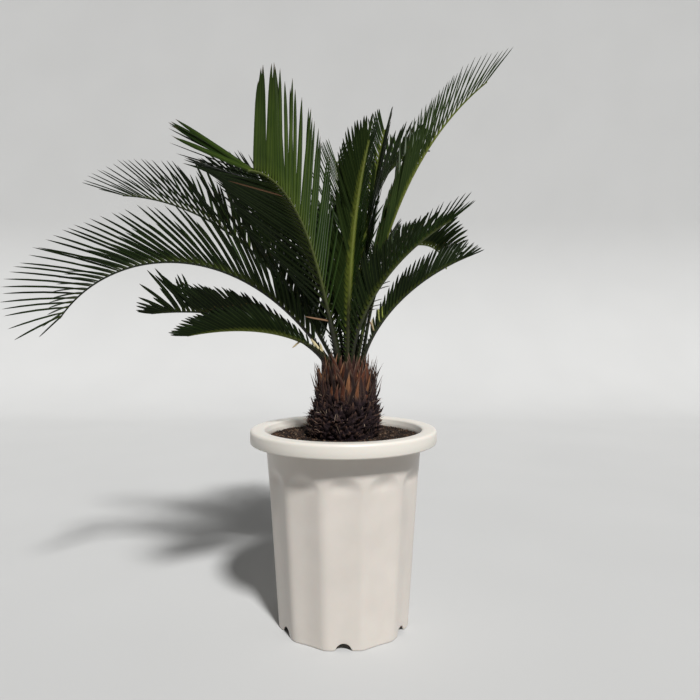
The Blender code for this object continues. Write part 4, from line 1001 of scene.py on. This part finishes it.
# Painted shade: each leaflet is darkened over its outer part, towards the tip
painted_tip_shade = lay_over(tree, rooted.outputs[2], shape_parts.outputs["X"], (0.60, 0.95), 0.55, "#0A1406")
tipped = lay_over(tree, painted_tip_shade, shape_parts.outputs["X"], (0.955, 0.99), 0.8, "#4A3418")
dull = add_node(tree, "ShaderNodeMapRange", {"Value": shape_parts.outputs["Z"], "From Min": 0.0, "From Max": -0.6,
                                             "To Min": 0.34, "To Max": 0.62})
line_place = add_node(tree, "ShaderNodeVectorMath", {0: own_shape.outputs["Vector"], 1: (2.0, 14.0, 0.0)},
                      operation="MULTIPLY")
lines = add_node(tree, "ShaderNodeTexNoise", {"Vector": line_place, "Scale": 1.0, "Detail": 2.0})
relief = add_node(tree, "ShaderNodeBump", {"Height": lines, "Strength": 0.35, "Distance": 0.0003})
feed(shader, {"Base Color": tipped, "Roughness": dull, "Normal": relief})

# Stalk and rib: smooth green skin over wood, darkened near the crown by painted shade, yellower where old sun has
# bleached it
rib_finish, tree, shader = new_finish("frond_rib", {"Roughness": 0.45, "IOR": 1.45})
_, shape_parts = shape_nodes(tree)
own_rib = add_node(tree, "ShaderNodeAttribute", attribute_name="rib")
place = add_node(tree, "ShaderNodeTexCoord")
patch = add_node(tree, "ShaderNodeTexNoise", {"Vector": place.outputs["Object"], "Scale": 1 / 0.012, "Detail": 4.0})
patched = add_node(tree, "ShaderNodeMath", {0: patch, 1: 0.22, 2: own_rib.outputs["Fac"]}, operation="MULTIPLY_ADD")
aged = add_node(tree, "ShaderNodeMath", {0: patched, 1: 0.11}, operation="SUBTRACT")
tone = set_stops(add_node(tree, "ShaderNodeValToRGB", {"Fac": aged}),
                 ((0.0, "#0E150A"), (0.30, "#202B14"), (0.60, "#646E2A"), (0.80, "#7A6C34"), (1.0, "#4E2E1A")))
# Painted shade: the stalk is darkened from 46 % of its length down to the crown
rib_with_low_shade = lay_over(tree, tone, shape_parts.outputs["X"], (0.46, 0.20), 0.92, "#1A1B0E")
relief = add_node(tree, "ShaderNodeBump", {"Height": patch, "Strength": 0.3, "Distance": 0.0006})
feed(shader, {"Base Color": rib_with_low_shade, "Normal": relief})

# The stalk thickens towards its seat by this share, within about this length
SEAT_SWELL = 0.35
SEAT_SWELL_LENGTH = 0.016


def make_rib(name, values):
    """The rib's skin from its root in the crown to its tip, and for each vertex its share along the rib."""
    stations = np.concatenate([[-SOCKET_DEPTH, -0.004], np.linspace(0.004, values["length"] - 0.001, RIB_STATIONS)])
    points, _, right, up = frond_path(values, stations)
    vertices = []
    shape_values = []
    for k, station in enumerate(stations):
        share = max(0.0, station / values["length"])
        stout = 1.0 + (STOUT_RIBS.get(name, 1.0) - 1.0) * min(1.0, share * 3.0)
        width = rib_width(share) * stout * (1.0 + SEAT_SWELL * math.exp(-max(station, 0.0) / SEAT_SWELL_LENGTH))
        for side, lift in rib_outline:
            vertices.append(points[k] + right[k] * side * width + up[k] * lift * width)
            shape_values.append((share, side, lift))
    return vertices, tube_faces(len(rib_outline), len(stations)), shape_values


# Leaflets over 63 mm long have their full breadth. Slender tips begin and end at these places.
LEAST_BREADTH = 0.30
BREADTH_LENGTH = 0.09
SLENDER_FROM = 0.25
SLENDER_TO = 0.95


def blade_share(name, length, place):
    """Share of the full breadth that a leaflet has: less where it is short, and at a slender tip."""
    slender = SLENDER_TIPS.get(name, 0.0) * smooth_step(SLENDER_FROM, SLENDER_TO, place)
    return min(1.0, LEAST_BREADTH + length / BREADTH_LENGTH) * (1.0 - slender)


# Spines: the lowest leaflets, down the stalk, are short sharp spines that grow longer towards the rib
FIRST_SPINE = 0.018
SPINE_PITCH = 0.0065
SPINE_ANGLE = 48
SPINE_LENGTH = 0.005
SPINE_GAIN = 0.20

values_of = {name: dict(zip(FROND_FIELDS, fields)) for name, fields in FRONDS.items()}
rib_lines = {name: stretches(frond_path(values, np.linspace(0.0, values["length"], 24))[0])
             for name, values in values_of.items()}

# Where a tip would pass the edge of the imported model's box, less a margin, its leaflet is shortened step by step
BOX_MARGIN = 0.001
SHORTER = 0.96
box_low, box_high = (np.array(corner) for corner in cad_box)
taken = np.zeros((0, 2, 3))
draw_leaflet = random.Random(31)
for name, values in values_of.items():
    other_ribs = [line for other, line in rib_lines.items() if other != name]
    others = np.concatenate([taken] + other_ribs)
    last = values["length"] - BARE_TIP
    pitch = LEAFLET_PITCH * math.sqrt(values["length"] / LONGEST_FROND)
    pairs = round((last - BARE_PETIOLE) / pitch)
    places = np.linspace(0.0, 1.0, pairs) ** CROWDED_TIPS.get(name, USUAL_CROWDING)
    stations = BARE_PETIOLE + (last - BARE_PETIOLE) * places
    own = {1: np.zeros((0, 2, 3)), -1: np.zeros((0, 2, 3))}
    roots = []
    greens = []
    for hand in (1, -1):
        # A rank's own greens, where given, carry its painted shade
        rank_green_and_shade = RANK_GREENS_AND_SHADE.get((name, hand), ((0.0, values["green"]), (1.0, values["green"])))
        turned_from, facing = RANK_FACINGS.get((name, hand), (2.0, None))
        shift = 0.0 if hand == 1 else pitch * RANK_SHIFT
        points, along, right, up = frond_path(values, np.minimum(stations + shift, last))
        for k in range(pairs):
            forward, vee, share = leaflet_plan(name, hand, places[k])
            forward += draw_leaflet.uniform(-1.6, 1.6)
            steepest = max(STEEPEST_VEE, vee)
            vee += draw_leaflet.uniform(-2.5, 2.5)
            full = values["leaflet"] * share * draw_leaflet.uniform(0.95, 1.0)
            width = rib_width(stations[k] / values["length"])
            root = points[k] + hand * right[k] * width * SEAT_ASIDE + up[k] * width * SEAT_UP
            best = None
            for turn, fold, shrink in TRIALS:
                line = leaflet_line(root, along[k], hand * right[k], up[k], full * shrink,
                                    math.radians(forward + fold), math.radians(min(vee + turn, steepest)),
                                    STRAIGHT_LEAVED.get(name, LEAFLET_CURL))
                score = min(room_round(line, others, 0.04) / FROND_ROOM,
                            room_round(line, own[hand], 0.05) / RANK_ROOM,
                            room_round(line, own[-hand], 0.35) / RANK_ROOM,
                            room_round(line, rib_lines[name], 0.30) / RANK_ROOM)
                if best is None or score > best[0] + BETTER_BY:
                    best = (score, line, full * shrink)
                if score > 1.0:
                    break
            _, line, length = best
            while (line[2] < box_low + BOX_MARGIN).any() or (line[2] > box_high - BOX_MARGIN).any():
                line = line[0] + (line - line[0]) * SHORTER
                length *= SHORTER
            own[hand] = np.concatenate([own[hand], stretches(line)])
            aim = line[1] - line[0]
            aim /= np.linalg.norm(aim)
            across, face = blade_sides(aim, along[k], up[k])
            curl = (line[2] - line[0]) / length - aim
            blade = blade_share(name, length, places[k])
            if places[k] >= turned_from:
                blade *= TUFT_BREADTH if places[k] > TUFT_START else FAN_BREADTH + FAN_GAIN * places[k]
                face = square_to(aim, np.array(facing))
                across = np.cross(face, aim)
            else:
                sense = math.copysign(math.sin(LOUVRE), across.dot(along[k]))
                across, face = (across * math.cos(LOUVRE) - face * sense,
                                face * math.cos(LOUVRE) + across * sense)
            roots.append((root, aim, across, face, curl,
                          (length / values["leaflet"], blade * draw_leaflet.uniform(0.9, 1.0), 1.0)))
            greens.append(float(np.interp(places[k], *zip(*rank_green_and_shade))))
        for station in np.arange(FIRST_SPINE, BARE_PETIOLE - 0.003, SPINE_PITCH):
            point, ahead, aside, above = (table[0] for table in frond_path(values, np.array([station])))
            angle = math.radians(SPINE_ANGLE + draw_leaflet.uniform(-6, 6))
            aim = ahead * math.cos(angle) + (hand * aside * 0.8 + above * 0.6) * math.sin(angle)
            aim /= np.linalg.norm(aim)
            spine = SPINE_LENGTH + SPINE_GAIN * (station - FIRST_SPINE) * draw_leaflet.uniform(0.7, 1.2)
            roots.append((point + hand * aside * rib_width(0.05) * 0.4, aim, *blade_sides(aim, ahead, above),
                          np.zeros(3), (spine / values["leaflet"], 0.28, 0.9)))
            greens.append(rank_green_and_shade[0][1])
    taken = np.concatenate([taken, own[1], own[-1]])
    ribs = [values["rib"] * PALE_ROOTS.get(name, 1.0)] * len(roots)
    frond = grow(name + "_leaf", make_rib(name, values), roots, leaflet_shape,
                 (values["leaflet"], values["breadth"] / 2, LEAFLET_THICKNESS), 0.015, 40 + len(taken) % 97,
                 (rib_finish, leaf_finish), 50, {"green": (values["green"], greens), "rib": (values["rib"], ribs)})
    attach(frond, "root")
    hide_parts(name)


# Odd leaflets
# A few leaflets have died where they grew: flat, dry and stiff, brown or cream, and two of them still pale green.
# Others have stayed as thin as hairs. Each keeps its seat on a frond's rib.

# The tree takes lengths and half widths as shares of the first two. Only the hair-thin leaflets droop.
ODD_LENGTH = 0.04
ODD_HALF_WIDTH = 0.003
ODD_THICKNESS = 0.7
HAIR_DROOP = 0.20
ODD_FACING = np.array((0.0, -1.0, 0.25))

# frond, place along it, direction, length and half width in metres, and tone: 0 is dark green, 0.2 brown, 0.6
# cream and 1 pale green
ODD_LEAFLETS = (("frond_03", 0.211, (-0.98, -0.18, 0.15), 0.038, 0.0013, 0.24),
                ("frond_11", 0.292, (0.16, -0.10, 1.0), 0.029, 0.0030, 1.0),
                ("frond_11", 0.285, (-0.05, -0.12, 1.0), 0.025, 0.0022, 0.90),
                ("frond_11", 0.236, (-0.22, -0.10, 1.0), 0.021, 0.0027, 0.55),
                ("frond_11", 0.228, (-0.35, -0.10, 1.0), 0.020, 0.0012, 0.24),
                ("frond_12", 0.115, (-0.58, -0.15, 0.82), 0.027, 0.0024, 0.60),
                ("frond_12", 0.100, (-0.25, -0.15, 1.0), 0.018, 0.0018, 0.62),
                ("frond_12", 0.281, (-0.75, -0.10, -0.62), 0.016, 0.0014, 0.45),
                ("frond_04", 0.97, (0.62, -0.60, -0.50), 0.026, 0.0012, 0.18),
                ("frond_04", 0.94, (0.50, -0.60, -0.62), 0.022, 0.0013, 0.20),
                ("frond_04", 0.91, (0.60, -0.60, -0.52), 0.028, 0.0012, 0.18),
                ("frond_03", 0.76, (-0.85, -0.55, 0.14), 0.080, 0.0010, 0.23),
                ("frond_09", 0.31, (0.80, -0.05, 0.50), 0.020, 0.0007, 0.0),
                ("frond_09", 0.34, (0.88, -0.05, 0.40), 0.027, 0.0007, 0.0),
                ("frond_09", 0.37, (0.82, -0.05, 0.50), 0.022, 0.0007, 0.0),
                ("frond_09", 0.46, (0.86, -0.05, 0.44), 0.021, 0.0007, 0.0),
                ("frond_09", 0.49, (0.80, -0.05, 0.54), 0.017, 0.0007, 0.0))

# Dry leaflet: matt dead tissue, from brown over cream to pale green, browner along its middle
dead_finish, tree, shader = new_finish("dry_leaflet", {"Roughness": 0.7, "Specular IOR Level": 0.3})
_, shape_parts = shape_nodes(tree)
own_green = add_node(tree, "ShaderNodeAttribute", attribute_name="green")
tone = set_stops(add_node(tree, "ShaderNodeValToRGB", {"Fac": own_green.outputs["Fac"]}),
                 ((0.0, "#10170A"), (0.16, "#7A4A2A"), (0.28, "#7C6550"), (0.60, "#CDBF97"), (1.0, "#A3B054")))
edge = add_node(tree, "ShaderNodeMath", {0: shape_parts.outputs["Y"]}, operation="ABSOLUTE")
feed(shader, {"Base Color": lay_over(tree, tone, edge, (0.5, 0.1), 0.25, "#6B5A34")})

odd_roots = []
for name, share, direction, length, half_width, tone in ODD_LEAFLETS:
    point = frond_path(values_of[name], np.array([share * values_of[name]["length"]]))[0][0]
    aim = np.array(direction) / np.linalg.norm(direction)
    face = square_to(aim, ODD_FACING)
    odd_roots.append((point, aim, np.cross(face, aim), face, (0.0, 0.0, -HAIR_DROOP * (tone == 0.0)),
                      (length / ODD_LENGTH, half_width / ODD_HALF_WIDTH, ODD_THICKNESS)))
odd_leaflets = grow("odd_leaflets", ([], [], None), odd_roots, leaflet_shape,
                    (ODD_LENGTH, ODD_HALF_WIDTH, LEAFLET_THICKNESS), 0.02, 12, (dead_finish, dead_finish), 50,
                    {"green": (0.0, [row[5] for row in ODD_LEAFLETS])})
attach(odd_leaflets, "root")

for template in (stub_shape, thread_shape, scale_shape, leaflet_shape):
    bpy.data.objects.remove(template)


# Floor, light and camera
# A plain pale studio floor that curves up behind the plant, a key light above and to the right of the camera,
# and a white surround that fills the shadows. The camera stands where the photograph was taken from.

floor_finish, tree, shader = new_finish("studio_floor", {"Roughness": 0.9, "Specular IOR Level": 0.1})
place = add_node(tree, "ShaderNodeTexCoord")
cloud = add_node(tree, "ShaderNodeTexNoise", {"Vector": place.outputs["Object"], "Scale": 3.0, "Detail": 1.0})
tone = set_stops(add_node(tree, "ShaderNodeValToRGB", {"Fac": cloud}), ((0.3, "#B7B7B6"), (0.7, "#B9B9B8")))
feed(shader, {"Base Color": tone})

FLOOR_REACH = 20.0
BEND_START = 2.0
BEND_RADIUS = 1.2
BACK_HEIGHT = 6.0
floor_line = [(-FLOOR_REACH, 0.0), (BEND_START, 0.0)]
floor_line += [(BEND_START + BEND_RADIUS * math.sin(a), BEND_RADIUS - BEND_RADIUS * math.cos(a))
               for a in np.linspace(0.1, math.pi / 2, 16)]
floor_line.append((BEND_START + BEND_RADIUS, BACK_HEIGHT))
floor_vertices = [(x, y, z) for y, z in floor_line for x in (-FLOOR_REACH, FLOOR_REACH)]
floor_faces = [(2 * k, 2 * k + 1, 2 * k + 3, 2 * k + 2) for k in range(len(floor_line) - 1)]
studio_floor = new_piece("studio_floor", floor_vertices, floor_faces, floor_finish, sharp=60)

world = bpy.data.worlds.new("studio")
bpy.context.scene.world = world
world.use_nodes = True
feed(world.node_tree.nodes["Background"], {"Color": linear("#FFFFFF"), "Strength": 0.09})
bpy.context.scene.view_settings.view_transform = "Standard"

# The key light stands to the right of the camera and well above it, as the shadow under the rim shows
KEY_ELEVATION = math.radians(50.0)
KEY_AZIMUTH = math.radians(-68.0)
KEY_DISTANCE = 2.0
KEY_HEIGHT = 2.4
KEY_STRENGTH = 4.4
KEY_SPREAD = math.radians(8.0)
key_light = bpy.data.lights.new("key", "SUN")
key_light.energy = KEY_STRENGTH
key_light.angle = KEY_SPREAD
key = place_object("key", key_light)
key.location = ring_points([KEY_AZIMUTH], KEY_DISTANCE, KEY_HEIGHT)[0]
towards_key = Vector((math.cos(KEY_ELEVATION) * math.cos(KEY_AZIMUTH),
                      math.cos(KEY_ELEVATION) * math.sin(KEY_AZIMUTH), math.sin(KEY_ELEVATION)))
key.rotation_euler = towards_key.to_track_quat("Z", "Y").to_euler()

# The camera's place in metres, how far it looks down and to the right in radians, and its lens in pixels
CAMERA_PLACE = (0.0, -0.907, 0.4396)
CAMERA_DIP = 0.0313
CAMERA_TURN = 0.0109
SENSOR_WIDTH = 36.0
FOCAL_PIXELS = 600.0
IMAGE_PIXELS = 700.0
camera_data = bpy.data.cameras.new("camera")
camera_data.sensor_width = SENSOR_WIDTH
camera_data.lens = SENSOR_WIDTH * FOCAL_PIXELS / IMAGE_PIXELS
camera = place_object("camera", camera_data)
camera.location = CAMERA_PLACE
looking = Vector((math.sin(CAMERA_TURN) * math.cos(CAMERA_DIP), math.cos(CAMERA_TURN) * math.cos(CAMERA_DIP),
                  -math.sin(CAMERA_DIP)))
camera.rotation_euler = looking.to_track_quat("-Z", "Y").to_euler()
bpy.context.scene.camera = camera
